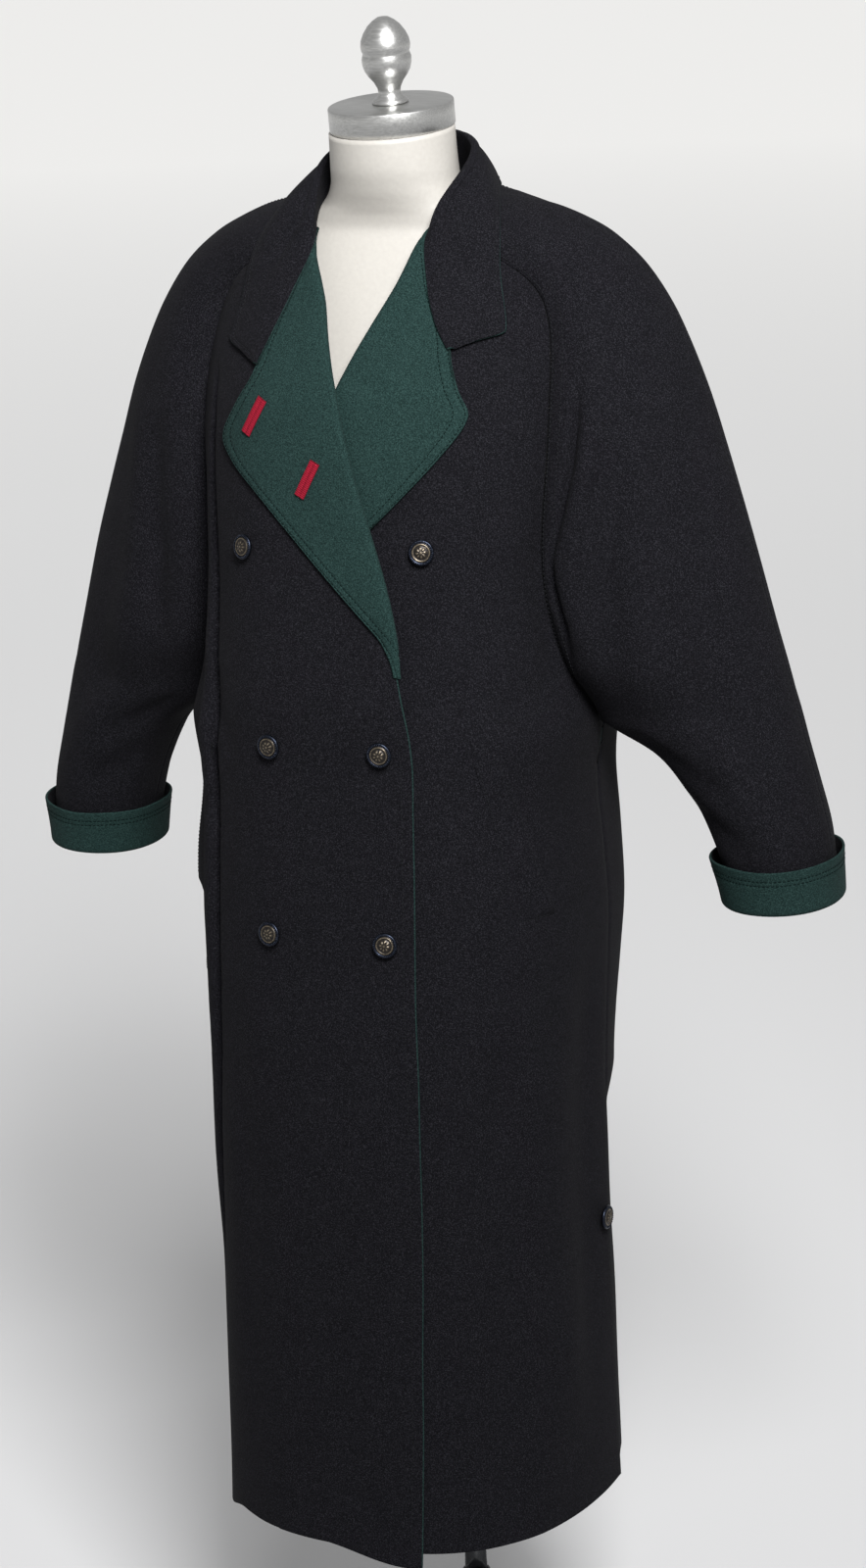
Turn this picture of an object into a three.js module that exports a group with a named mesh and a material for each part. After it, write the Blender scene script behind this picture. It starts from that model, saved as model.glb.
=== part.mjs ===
// A long double-breasted coat of boiled wool, standing on a limbless dress form.
// Millimetres, +Z up. The coat's front faces -Y and the wearer's left is +X.
// The origin is on the floor, under the middle of the stand's pole.
import * as THREE from "three";

// Cloth
const CLOTH = 2.4; // thickness of the boiled wool
const SEAM_GAP = 0.34; // space between two pieces at a seam
const LAP_LIFT = 3.5; // how far one lying layer is moved out from the layer under it
const ROLL_RADIUS = 3.4; // radius of a soft turn of the cloth, at its middle

// Coat
const HEM_Z = 288; // height of the hem above the floor
const UNDERARM_Z = 1052; // where the sleeve leaves the body
const SQUARE = 2.5; // squareness of the body's sections, 2 is an ellipse
const CUFF_DEPTH = 41; // turned-back depth of a cuff

// Buttons
const BUTTON_RADIUS = 11.5;
const BUTTON_HEIGHT = 6;
const BUTTON_ROWS = [
  { z: 1225, x: 83 },
  { z: 1051, x: 54 },
  { z: 878, x: 57 },
];
const VENT_BUTTON_Z = 563;

// Dress form
const NECK_RADIUS = 57;
const CAP_CENTRE = new THREE.Vector3(0, -44, 1600); // middle of the cap's top face
const CAP_HEIGHT = 22;
const CAP_TILT = THREE.MathUtils.degToRad(6.2); // the cap leans to the front
const POLE_RADIUS = 11.5;
const BASE_RADIUS = 185;

// Names the columns of a table, so that each row becomes an object.
const table = (columns, rows) =>
  rows.map((row) => Object.fromEntries(columns.map((name, i) => [name, row[i]])));

// The front: depth is how far the centre front lies before the pole, and the section runs from there
// to its seam at seamX, seamY, turning by the given angle. edge is the x of its free edge or roll line.
// The heights from the underarm up are those of the sleeve's front seam.
const FRONT = table(["z", "depth", "seamX", "seamY", "turn", "edge"], [
  [288, 288, 190, -68, 90, -75],
  [345, 284, 188, -67, 90, -77],
  [410, 281, 187, -66, 90, -79],
  [480, 278, 186, -65, 90, -80],
  [550, 275, 185, -65, 90, -82],
  [620, 272, 185, -64, 90, -83],
  [690, 269, 185, -64, 90, -83],
  [750, 265, 187, -63, 90, -83],
  [810, 261, 190, -62, 90, -82],
  [870, 256, 192, -60, 90, -82],
  [930, 251, 189, -60, 90, -82],
  [990, 245, 185, -60, 90, -81],
  [1052, 238, 192, -62, 90, -80],
  [1108, 229, 178, -104, 75, -69],
  [1155, 221, 168, -116, 70, -61],
  [1200, 214, 164, -120, 68, -51],
  [1245, 206, 166, -120, 68, -37],
  [1300, 196, 170, -115, 66, -18],
  [1348, 182, 170, -105, 64, -2],
  [1382, 166, 168, -94, 62, 12],
  [1412, 150, 163, -84, 60, 25],
  [1435, 137, 154, -80, 58, 35],
  [1452, 127, 140, -83, 55, 42],
  [1467, 114, 118, -87, 50, 48],
  [1481, 98, 90, -84, 45, 52.5],
  [1492, 84, 68, -74, 45, 56],
]);

// The back above the underarm: its middle at y = depth and its raglan seam at seamX, seamY.
const BACK = table(["z", "depth", "seamX", "seamY", "turn"], [
  [288, 77, 190, -68, 90],
  [345, 81, 188, -67, 90],
  [410, 83, 187, -66, 90],
  [480, 82, 186, -65, 90],
  [550, 79, 185, -65, 90],
  [620, 76, 185, -64, 90],
  [690, 74, 185, -64, 90],
  [750, 77, 187, -63, 90],
  [810, 83, 190, -62, 90],
  [870, 90, 192, -60, 90],
  [930, 96, 189, -60, 90],
  [990, 101, 185, -60, 90],
  [1052, 104, 192, -62, 90],
  [1085, 108, 188, -22, 75],
  [1120, 109, 180, 0, 68],
  [1165, 110, 172, 18, 64],
  [1210, 110, 167, 32, 60],
  [1255, 110, 163, 42, 58],
  [1300, 109, 157, 50, 56],
  [1345, 107, 150, 58, 55],
  [1385, 103, 142, 64, 55],
  [1418, 97, 132, 67, 55],
  [1450, 87, 118, 67, 55],
  [1480, 73, 98, 62, 55],
  [1508, 53, 74, 47, 50],
  [1524, 34, 50, 32, 45],
]);

// One sleeve row: over is its point on the overarm seam. Above the underarm the front and back points
// are those of the raglan seams; below it both are the under point. The leave vectors set how the
// cloth leaves each seam and round how full the row is at the overarm.
const SLEEVE = table(
  ["overX", "overY", "overZ", "frontX", "frontY", "frontZ", "backX", "backY", "backZ", "roundF", "roundB"],
  [
    [74, -26, 1518, 10, 8, 11, 10, -6, 3, 14, 14],
    [108, -20, 1513, 8, 6, 20, 12, -8, 8, 20, 20],
    [140, -15, 1506, 12, 4, 24, 18, -8, 16, 24, 24],
    [170, -12, 1494, 20, 0, 26, 26, -6, 22, 28, 28],
    [196, -10, 1480, 28, -4, 26, 34, -2, 26, 32, 32],
    [223, -11, 1457, 36, -10, 22, 42, 2, 26, 38, 38],
    [247, -12, 1424, 42, -18, 16, 48, 8, 24, 44, 42],
    [265, -14, 1390, 44, -24, 10, 52, 12, 20, 50, 46],
    [284, -17, 1345, 44, -30, 6, 54, 16, 16, 56, 50],
    [301, -20, 1294, 42, -36, 2, 54, 20, 12, 62, 54],
    [317, -23, 1242, 40, -42, 0, 52, 26, 6, 68, 58],
    [332, -26, 1190, 38, -48, -2, 46, 36, 2, 74, 62],
    [348, -27, 1130, 34, -58, -4, 38, 50, 0, 80, 68],
    [364, -28, 1074, 18, -74, -8, 18, 66, -6, 86, 74],
    [376, -29, 1028, 4, -84, -4, 4, 74, -4, 86, 78],
    [386, -29, 990, 0, -84, 0, 0, 78, 0, 84, 78],
    [396, -29, 950, 0, -80, 0, 0, 76, 0, 80, 76],
    [400, -29, 915, 0, -76, 0, 0, 74, 0, 76, 74],
    [400, -28, 886, 0, -73, 0, 0, 72, 0, 73, 72],
  ],
);
const UNDER = table(["x", "y", "z"], [
  [243, -48, 1022],
  [268, -40, 992],
  [287, -34, 956],
  [300, -30, 918],
  [306, -28, 883],
]);

// The lapel's outer edge, one row for each height of the roll line that it turns from.
const LAPEL = table(["rollZ", "edgeX", "edgeZ"], [
  [1116, -68, 1110],
  [1155, -46, 1160],
  [1200, 12, 1218],
  [1245, 66, 1271],
  [1300, 102, 1302],
  [1348, 116, 1329],
  [1382, 101, 1361],
  [1412, 90, 1386],
  [1435, 78, 1414],
  [1452, 69, 1437],
  [1467, 61, 1459],
  [1481, 55.5, 1476],
]);

// The collar, from the middle back to where it meets the roll line: the neck seam, the fold and the
// outer edge, and how far the fall bows out between the fold and the edge.
const COLLAR = table(
  ["seamX", "seamY", "seamZ", "foldX", "foldY", "foldZ", "edgeX", "edgeY", "edgeZ", "bow"],
  [
    [0, 33, 1530, 0, 27, 1568, 0, 75, 1499, 3],
    [26, 29, 1529, 28, 22, 1568, 44, 71, 1502, 3],
    [48, 14, 1528, 52, 8, 1566, 80, 54, 1511, 4],
    [64, -10, 1525, 69, -14, 1559, 100, 14, 1518, 5],
    [71, -34, 1519, 75, -36, 1549, 107, -28, 1519, 6],
    [70, -56, 1511, 73, -57, 1536, 112, -64, 1506, 8],
    [65, -76, 1501, 68, -79, 1520, 118, -86, 1482, 11],
    [59, -93, 1491, 62, -97, 1502, 121, -102, 1461, 12],
  ],
);

// The collar's front end: where it meets the lapel at each of these heights of the gorge, and its edge.
const GORGE = table(["seamX", "seamZ", "edgeX", "edgeZ"], [
  [57, 1481, 123, 1441],
  [63.5, 1463, 128, 1420],
  [71, 1441, 128, 1406],
  [81, 1419, 115, 1398.5],
  [93.5, 1391, 99, 1394.5],
]);
// Soft upright folds: where each lies across the panel, from its top to its foot, how deep and how wide.
const FOLDS = table(["panel", "topX", "footX", "topZ", "footZ", "depth", "width"], [
  ["front_right", 138, 148, 1330, 480, -8, 13],
]);

const { lerp, degToRad, smoothstep, clamp } = THREE.MathUtils;

// A row of a table at any key between its rows, on smooth curves through them.
function rowAt(rows, key, value) {
  const last = rows.length - 1;
  const rising = rows[last][key] > rows[0][key];
  let i = rows.findIndex((row) => (rising ? row[key] > value : row[key] < value)) - 1;
  if (i === -2) i = last - 1;
  i = clamp(i, 0, last - 1);
  const [a, b] = [rows[i], rows[i + 1]];
  const step = b[key] - a[key];
  const t = clamp((value - a[key]) / step, 0, 1);
  const slope = (k, name) => {
    const [p, q] = [rows[Math.max(k - 1, 0)], rows[Math.min(k + 1, last)]];
    return (q[name] - p[name]) / (q[key] - p[key]);
  };
  const between = (name) =>
    a[name] * (1 + 2 * t) * (1 - t) ** 2 +
    b[name] * (3 - 2 * t) * t ** 2 +
    step * (slope(i, name) * t * (1 - t) ** 2 - slope(i + 1, name) * t ** 2 * (1 - t));
  return Object.fromEntries(Object.keys(a).map((name) => [name, name === key ? value : between(name)]));
}

// A panel's section through a height: the x and y of its point at a given angle round from the middle.
function sectionPoint(row, outward, angle) {
  const power = 2 / SQUARE;
  const turn = degToRad(row.turn);
  const halfWidth = row.seamX / Math.sin(turn) ** power;
  const sweep = (row.depth - outward * row.seamY) / (1 - Math.max(0, Math.cos(turn)) ** power);
  const x = halfWidth * Math.sign(angle) * Math.abs(Math.sin(angle)) ** power;
  const inward = sweep * (1 - Math.abs(Math.cos(angle)) ** power);
  return new THREE.Vector2(x, outward * (row.depth - inward));
}

function sectionAngle(row, x) {
  const power = 2 / SQUARE;
  const halfWidth = row.seamX / Math.sin(degToRad(row.turn)) ** power;
  return Math.sign(x) * Math.asin(Math.min(1, (Math.abs(x) / halfWidth) ** (1 / power)));
}

// How far the folds move a panel's cloth at x and z.
function foldDepth(panel, x, z) {
  return FOLDS.filter((fold) => fold.panel === panel).reduce((sum, fold) => {
    const t = (fold.topZ - z) / (fold.topZ - fold.footZ);
    if (t <= 0 || t >= 1) return sum;
    const across = (x - lerp(fold.topX, fold.footX, t)) / fold.width;
    return sum + fold.depth * Math.exp(-across * across) * smoothstep(t, 0, 0.2) * smoothstep(1 - t, 0, 0.2);
  }, 0);
}

// How far the lap lifts the wearer's right front off the left one under it.
function lapLift(x, z) {
  const layers = 1 + 2.5 * smoothstep(z, 1020, 1100) * (1 - smoothstep(z, 1340, 1470));
  return LAP_LIFT * layers * (1 - smoothstep(x, 60, 165)) * (1 - smoothstep(z, 1400, 1490));
}

const panels = {}; // the grids and normals of the fronts, the back and the sleeves
const FRONT_SIDES = {
  front_left: { mirror: 1, lift: () => 0 },
  front_right: { mirror: -1, lift: lapLift },
};

// The lap's lower corner hangs a little longer than the rest of the hem.
function hemDrop(panel, x, z) {
  if (panel !== "front_right") return 0;
  return (17 * smoothstep(-x, -30, 70) - 3) * (1 - smoothstep(z, HEM_Z, HEM_Z + 60));
}

function frontByAngle(panel, row, angle) {
  const side = FRONT_SIDES[panel];
  const point = sectionPoint(row, -1, angle);
  const step = 0.01;
  const ahead = sectionPoint(row, -1, angle + step).sub(sectionPoint(row, -1, angle - step));
  const normal = new THREE.Vector2(ahead.y, -ahead.x).normalize();
  point.addScaledVector(normal, side.lift(point.x, row.z) + foldDepth(panel, point.x, row.z));
  return new THREE.Vector3(side.mirror * point.x, point.y, row.z - hemDrop(panel, point.x, row.z));
}

const spread = (count) => Array.from({ length: count + 1 }, (_, i) => i / count);

// Unit normals of a grid of points, by differences along its rows and columns.
function gridNormals(grid, ring) {
  const [rows, columns] = [grid.length, grid[0].length];
  const along = (list, i, count, wrap) => {
    if (wrap) return list((i + 1) % count).clone().sub(list((i - 1 + count) % count));
    if (i > 0 && i < count - 1) return list(i + 1).clone().sub(list(i - 1));
    const way = i === 0 ? 1 : -1;
    const first = list(i).clone().multiplyScalar(-3);
    return first.addScaledVector(list(i + way), 4).sub(list(i + 2 * way)).multiplyScalar(way);
  };
  return grid.map((line, r) =>
    line.map((_, c) => {
      const acrossRow = along((k) => line[k], c, columns, ring);
      const upColumn = along((k) => grid[k][c], r, rows, false);
      return acrossRow.cross(upColumn).normalize();
    }),
  );
}

// Draws the grid's borders in by half a seam gap, measured square to the border.
function trimmed(grid, ring) {
  const last = grid.length - 1;
  const end = grid[0].length - 1;
  const pull = (moved, point, towards, before, after) => {
    const way = towards.clone().sub(point).normalize();
    const border = after.clone().sub(before).normalize();
    const square = Math.max(way.clone().cross(border).length(), 0.2);
    moved.addScaledVector(way, SEAM_GAP / 2 / square);
  };
  return grid.map((line, r) =>
    line.map((point, c) => {
      const moved = point.clone();
      const [left, right] = [line[Math.max(c - 1, 0)], line[Math.min(c + 1, end)]];
      const [below, above] = [grid[Math.max(r - 1, 0)][c], grid[Math.min(r + 1, last)][c]];
      if (r === 0) pull(moved, point, above, left, right);
      if (r === last) pull(moved, point, below, left, right);
      if (!ring && c === 0) pull(moved, point, right, below, above);
      if (!ring && c === end) pull(moved, point, left, below, above);
      return moved;
    }),
  );
}

// A closed wall of cloth with the grid as its middle surface. A ring's rows close on themselves.
function clothWall(grid, { ring = false, thickness = CLOTH, normals = gridNormals(grid, ring) } = {}) {
  const middle = trimmed(grid, ring);
  const [rows, columns] = [grid.length, grid[0].length];
  const positions = [];
  for (const side of [1, -1])
    middle.forEach((line, r) =>
      line.forEach((point, c) =>
        positions.push(...point.clone().addScaledVector(normals[r][c], (side * thickness) / 2)),
      ),
    );
  const id = (side, r, c) => side * rows * columns + r * columns + (c % columns);
  const index = [];
  const quad = (a, b, c, d) => index.push(a, b, c, a, c, d);
  const spans = ring ? columns : columns - 1;
  for (let r = 0; r < rows - 1; r++)
    for (let c = 0; c < spans; c++) {
      quad(id(0, r, c), id(0, r, c + 1), id(0, r + 1, c + 1), id(0, r + 1, c));
      quad(id(1, r, c), id(1, r + 1, c), id(1, r + 1, c + 1), id(1, r, c + 1));
    }
  for (let c = 0; c < spans; c++) {
    quad(id(0, 0, c), id(1, 0, c), id(1, 0, c + 1), id(0, 0, c + 1));
    quad(id(0, rows - 1, c), id(0, rows - 1, c + 1), id(1, rows - 1, c + 1), id(1, rows - 1, c));
  }
  if (!ring)
    for (let r = 0; r < rows - 1; r++) {
      quad(id(0, r, 0), id(0, r + 1, 0), id(1, r + 1, 0), id(1, r, 0));
      const e = columns - 1;
      quad(id(0, r, e), id(1, r, e), id(1, r + 1, e), id(0, r + 1, e));
    }
  return facingOut(positions, index);
}

// A geometry from shared points, with its faces turned to point out of the solid.
function facingOut(positions, index) {
  const p = (i) => new THREE.Vector3().fromArray(positions, 3 * i);
  let volume = 0;
  for (let i = 0; i < index.length; i += 3)
    volume += p(index[i]).dot(p(index[i + 1]).cross(p(index[i + 2])));
  if (volume < 0) for (let i = 0; i < index.length; i += 3) [index[i], index[i + 1]] = [index[i + 1], index[i]];
  const geometry = new THREE.BufferGeometry();
  geometry.setAttribute("position", new THREE.Float32BufferAttribute(positions, 3));
  geometry.setIndex(index);
  geometry.computeVertexNormals();
  return geometry;
}

// Fronts and back
const LAP_COLUMNS = 6;
const BACK_COLUMNS = 18;

// The angles of a front's columns at one row: even over the lap, close over the fold, then to the seam.
function frontAngles(row) {
  const lap = Math.max(-row.edge, row.edge + Math.min(60, (row.seamX - row.edge) / 2));
  const even = spread(LAP_COLUMNS).map((u) => sectionAngle(row, lerp(row.edge, lap, u)));
  const start = even.at(-1);
  const end = degToRad(row.turn);
  const [fold] = FOLDS;
  const t = clamp((fold.topZ - row.z) / (fold.topZ - fold.footZ), 0, 1);
  const foldX = lerp(fold.topX, fold.footX, t);
  const middle = Math.min(sectionAngle(row, foldX), lerp(start, end, 0.55));
  const reach = 0.3 * Math.min(end - middle, middle - start) + 0.02;
  const close = [-1, -0.5, 0, 0.5, 1].map((u) => middle + reach * u);
  const rest = spread(3).slice(1).map((u) => lerp(close.at(-1), end, u));
  const beside = [1, 2].map((i) => lerp(start, close[0], i / 3));
  return [...even, ...beside, ...close, ...rest];
}

function frontGrid(panel) {
  return FRONT.map((row) => frontAngles(row).map((angle) => frontByAngle(panel, row, angle)));
}

// A front's points and normals along one height, read off its facets.
function frontLine(panel, z) {
  const { grid, normals } = panels[panel];
  const [r, t] = spanAt(FRONT.map((row) => row.z), z);
  return [grid, normals].map((rows) => rows[r].map((vector, c) => vector.clone().lerp(rows[r + 1][c], t)));
}

// The step of a rising list that holds a value, and how far along the step it lies.
function spanAt(values, value) {
  const above = values.findIndex((v) => v > value);
  const i = above < 0 ? values.length - 2 : Math.max(above - 1, 0);
  return [i, (value - values[i]) / (values[i + 1] - values[i])];
}

// A front's middle surface at its own x (positive on its own side) and a height, moved out by some way.
// What lies on the panel follows its facets.
function frontSurface(panel, x, z, out = 0) {
  const [line, facing] = frontLine(panel, z);
  const { mirror } = FRONT_SIDES[panel];
  const [c, u] = spanAt(line.map((point) => mirror * point.x), x);
  const normal = facing[c].lerp(facing[c + 1], u).normalize();
  return line[c].lerp(line[c + 1], u).addScaledVector(normal, out);
}

function backGrid() {
  return BACK.map((row) => {
    const turn = degToRad(row.turn);
    return spread(BACK_COLUMNS).map((u) => {
      const point = sectionPoint(row, 1, lerp(-turn, turn, u));
      return new THREE.Vector3(point.x, point.y, row.z);
    });
  });
}

// Sleeves
const SLEEVE_COLUMNS = 7;

function sleeveSeam(half) {
  const rows = half === "front" ? FRONT : BACK;
  const raglan = rows.filter((row) => row.z >= UNDERARM_Z).reverse();
  const seam = raglan.map((row) => new THREE.Vector3(row.seamX, row.seamY, row.z));
  return [...seam, ...UNDER.map(({ x, y, z }) => new THREE.Vector3(x, y, z))];
}

function sleeveGrid(half, mirror) {
  const front = half === "front";
  return sleeveSeam(half).map((start, i) => {
    const row = SLEEVE[i];
    const end = new THREE.Vector3(row.overX, row.overY, row.overZ);
    const leave = front
      ? new THREE.Vector3(row.frontX, row.frontY, row.frontZ)
      : new THREE.Vector3(row.backX, row.backY, row.backZ);
    const full = new THREE.Vector3(0, front ? -row.roundF : row.roundB, 0);
    const line = new THREE.CubicBezierCurve3(start, start.clone().add(leave), end.clone().add(full), end);
    return spread(SLEEVE_COLUMNS).map((u) => {
      const point = line.getPoint(u);
      point.x *= mirror;
      return point;
    });
  });
}

// Cuffs: the sleeve's end, turned outwards and up
const CUFF_TURNS = 4;
const CUFF_RADIUS = 3.9;
const CUFF_FLARE = 1.5;

function cuffGrid(mirror) {
  const [front, back] = ["front", "back"].map((half) => sleeveGrid(half, mirror));
  const last = front.length - 1;
  const ring = (row) => [...front[row], ...back[row].slice(1, -1).reverse()];
  const [end, above] = [ring(last), ring(last - 1)];
  const middle = end.reduce((sum, point) => sum.add(point), new THREE.Vector3()).divideScalar(end.length);
  const profile = spread(CUFF_TURNS).map((u) => [
    CUFF_RADIUS * (1 - Math.cos(Math.PI * u)),
    -CUFF_RADIUS * Math.sin(Math.PI * u),
  ]);
  for (const u of [0.35, 0.7, 1]) profile.push([2 * CUFF_RADIUS + CUFF_FLARE * u * u, CUFF_DEPTH * u]);
  return profile.map(([out, up]) =>
    end.map((point, i) => {
      const rise = above[i].clone().sub(point).normalize();
      const outward = point.clone().sub(middle);
      outward.addScaledVector(rise, -outward.dot(rise)).normalize();
      return point.clone().addScaledVector(outward, out).addScaledVector(rise, up);
    }),
  );
}

// Lapels: the cloth turns over at the roll line and lies back on the front
const LAPEL_TURNS = 3;
const ROLL_CLEARANCE = 1.2; // from the front's edge to the lapel's first point
const LAPEL_COLUMNS = 7;
const LAPEL_EDGES = [...LAPEL].sort((a, b) => a.edgeZ - b.edgeZ);

function lapelLift(x, z) {
  const roll = rowAt(FRONT, "z", z).edge;
  const edge = rowAt(LAPEL_EDGES, "edgeZ", z).edgeX;
  const t = clamp((x - roll) / Math.max(edge - roll, 8), 0, 1);
  return lerp(2 * ROLL_RADIUS, LAP_LIFT + 2 * SEAM_GAP, smoothstep(t, 0, 0.8));
}

function lapelGrid(panel) {
  const rows = LAPEL.slice(1).flatMap((row, i) => {
    const halfway = rowAt(LAPEL, "rollZ", (LAPEL[i].rollZ + row.rollZ) / 2);
    return [halfway, row];
  });
  return [LAPEL[0], ...rows].map(({ rollZ, edgeX, edgeZ }) => {
    const roll = new THREE.Vector2(FRONT_SIDES[panel].mirror * frontLine(panel, rollZ)[0][0].x, rollZ);
    const edge = new THREE.Vector2(edgeX, edgeZ);
    const way = edge.clone().sub(roll);
    const radius = Math.min(ROLL_RADIUS, way.length() / 2);
    way.normalize();
    const turn = spread(LAPEL_TURNS).map((u) => {
      const at = roll.clone().addScaledVector(way, -radius * Math.sin(Math.PI * u));
      at.x -= ROLL_CLEARANCE;
      return frontSurface(panel, at.x, at.y, ROLL_RADIUS * (1 - Math.cos(Math.PI * u)));
    });
    const fall = spread(LAPEL_COLUMNS).slice(1).map((u) => {
      const at = roll.clone().lerp(edge, u);
      return frontSurface(panel, at.x, at.y, lapelLift(at.x, at.y));
    });
    return [...turn, ...fall];
  });
}

// Collar: up the stand, over the fold and down the fall, from one front end round the back to the other
const COLLAR_TURNS = 4;

function collarRow(row, mirror) {
  const seam = new THREE.Vector3(row.seamX, row.seamY, row.seamZ);
  const fold = new THREE.Vector3(row.foldX, row.foldY, row.foldZ);
  const edge = new THREE.Vector3(row.edgeX, row.edgeY, row.edgeZ);
  const over = edge.clone().sub(seam).normalize();
  const up = fold.clone().sub(seam);
  up.addScaledVector(over, -up.dot(over)).normalize();
  const middle = fold.clone().addScaledVector(up, -ROLL_RADIUS);
  const turn = spread(COLLAR_TURNS).map((u) =>
    middle
      .clone()
      .addScaledVector(over, -ROLL_RADIUS * Math.cos(Math.PI * u))
      .addScaledVector(up, ROLL_RADIUS * Math.sin(Math.PI * u)),
  );
  const fall = [0.3, 0.65, 1].map((u) =>
    turn[COLLAR_TURNS].clone().lerp(edge, u).addScaledVector(up, row.bow * Math.sin(Math.PI * u)),
  );
  const points = [seam, ...turn, ...fall];
  points.forEach((point) => (point.x *= mirror));
  return points;
}

// The collar's end lies flat on the front, from the gorge to its edge.
function collarEndRow({ seamX, seamZ, edgeX, edgeZ }, panel) {
  const points = COLLAR_TURNS + 4;
  return spread(points).map((u) => {
    const [x, z] = [lerp(seamX, edgeX, u), lerp(seamZ, edgeZ, u)];
    const lift = lerp(lapelLift(seamX, seamZ), LAP_LIFT, u) + 1 + 1.5 * Math.sin(Math.PI * u);
    return frontSurface(panel, x, z, lift);
  });
}

function collarGrid() {
  const half = (mirror, panel) => [
    ...COLLAR.map((row) => collarRow(row, mirror)),
    ...GORGE.map((row) => collarEndRow(row, panel)),
  ];
  return [...half(-1, "front_right").slice(1).reverse(), ...half(1, "front_left")];
}

// Pocket welts: strips on the fronts, stitched down on the side of the centre front
const WELT = { topX: 149, topZ: 1042, footX: 178, footZ: 887, width: 20, thickness: 1.6 };

function weltGrid(panel) {
  const out = CLOTH / 2 + 4 * SEAM_GAP + WELT.thickness / 2;
  return spread(8).map((v) =>
    spread(4).map((u) => {
      const x = lerp(WELT.topX, WELT.footX, v) - WELT.width * (1 - u);
      const z = lerp(WELT.topZ, WELT.footZ, v) - 0.15 * WELT.width * (1 - u);
      return frontSurface(panel, x, z, out);
    }),
  );
}

// Bound buttonholes on the wearer's right lapel
const BUTTONHOLES = [
  { name: "buttonhole_upper", x: 75, z: 1338, slant: 27 },
  { name: "buttonhole_lower", x: 16, z: 1288, slant: 27 },
];
const BUTTONHOLE = { length: 32, width: 8, height: 1.2 };

function buttonholeGrid({ x, z, slant }) {
  const turn = degToRad(slant);
  return spread(3).map((v) =>
    spread(2).map((u) => {
      const along = (v - 0.5) * BUTTONHOLE.length;
      const across = (u - 0.5) * BUTTONHOLE.width;
      const atX = x + along * Math.sin(turn) + across * Math.cos(turn);
      const atZ = z - along * Math.cos(turn) + across * Math.sin(turn);
      const out = lapelLift(atX, atZ) + CLOTH / 2 + 2 * SEAM_GAP + BUTTONHOLE.height / 2;
      return frontSurface("front_right", atX, atZ, out);
    }),
  );
}

// Buttons: a domed face inside a raised rim, on a short shank
const BUTTON_PROFILE = [
  [0, -0.25],
  [0.25, -0.25],
  [0.25, 0],
  [0.72, 0],
  [1, 0.25],
  [1, 0.62],
  [0.84, 0.86],
  [0.72, 0.7],
  [0.4, 0.92],
  [0, 1],
].map(([r, h]) => new THREE.Vector2(r * BUTTON_RADIUS, h * BUTTON_HEIGHT));

function addButton(name, panel, x, z) {
  const seat = frontSurface(panel, x, z, CLOTH / 2 + 2.5 * SEAM_GAP + 0.25 * BUTTON_HEIGHT);
  const normal = frontSurface(panel, x, z, CLOTH / 2 + 10).sub(seat).normalize();
  const metal = new THREE.MeshStandardMaterial({ color: 0x6f675c, roughness: 0.42, metalness: 0.9 });
  const button = addMesh(coat, name, new THREE.LatheGeometry(BUTTON_PROFILE, 16), metal);
  button.position.copy(seat);
  button.quaternion.setFromUnitVectors(new THREE.Vector3(0, 1, 0), normal);
}

// Dress form: sections of the torso and neck, from the underside up
const TORSO = table(["z", "halfWidth", "front", "back", "middle"], [
  [770, 150, 92, 96, -40],
  [800, 160, 98, 104, -40],
  [880, 166, 100, 108, -40],
  [960, 154, 96, 98, -40],
  [1060, 124, 88, 80, -42],
  [1150, 132, 98, 84, -44],
  [1230, 146, 116, 92, -46],
  [1280, 152, 122, 98, -46],
  [1330, 154, 112, 104, -46],
  [1380, 156, 92, 106, -44],
  [1420, 156, 74, 98, -42],
  [1450, 146, 60, 86, -40],
  [1475, 126, 48, 72, -38],
  [1490, 104, 42, 60, -37],
  [1502, 87.5, 43, 54, -37],
  [1512, 71.8, 46, 52, -38],
  [1527, 61.5, 51, 54, -40],
  [1545, 58.5, 55, 56, -42],
  [1577.6, NECK_RADIUS, NECK_RADIUS, NECK_RADIUS, -44],
]);
const TORSO_SIDES = 24;

function torsoGeometry() {
  const top = TORSO.at(-1).z;
  const rings = TORSO.map(({ z, halfWidth, front, back, middle }) =>
    Array.from({ length: TORSO_SIDES }, (_, i) => {
      const angle = (2 * Math.PI * i) / TORSO_SIDES;
      const reach = Math.cos(angle) > 0 ? front : back;
      const y = -reach * Math.cos(angle);
      const lean = Math.tan(CAP_TILT) * y * smoothstep(z, 1532, top);
      return new THREE.Vector3(halfWidth * Math.sin(angle), middle + y, z + lean);
    }),
  );
  return closedRings(rings);
}

// A solid through rings of points, with a flat fan over each end.
function closedRings(rings) {
  const sides = rings[0].length;
  const positions = rings.flat().flatMap((point) => point.toArray());
  const ends = [rings[0], rings.at(-1)].map((ring) =>
    ring.reduce((sum, point) => sum.add(point), new THREE.Vector3()).divideScalar(sides),
  );
  const foot = positions.length / 3;
  positions.push(...ends[0].toArray(), ...ends[1].toArray());
  const index = [];
  for (let i = 0; i < sides; i++) {
    const j = (i + 1) % sides;
    for (let r = 0; r < rings.length - 1; r++) {
      const [a, b] = [r * sides, (r + 1) * sides];
      index.push(a + i, a + j, b + j, a + i, b + j, b + i);
    }
    const last = (rings.length - 1) * sides;
    index.push(foot, j, i, foot + 1, last + i, last + j);
  }
  return facingOut(positions, index);
}

const FINIAL_PROFILE = [
  [0, 0],
  [16.5, 0],
  [16, 2.5],
  [10.5, 7],
  [10, 12],
  [14, 20],
  [20.5, 29],
  [22.5, 40],
  [21, 45],
  [22.5, 51],
  [19, 62],
  [10, 73],
  [0, 77],
].map(([r, h]) => new THREE.Vector2(r, h));

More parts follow.
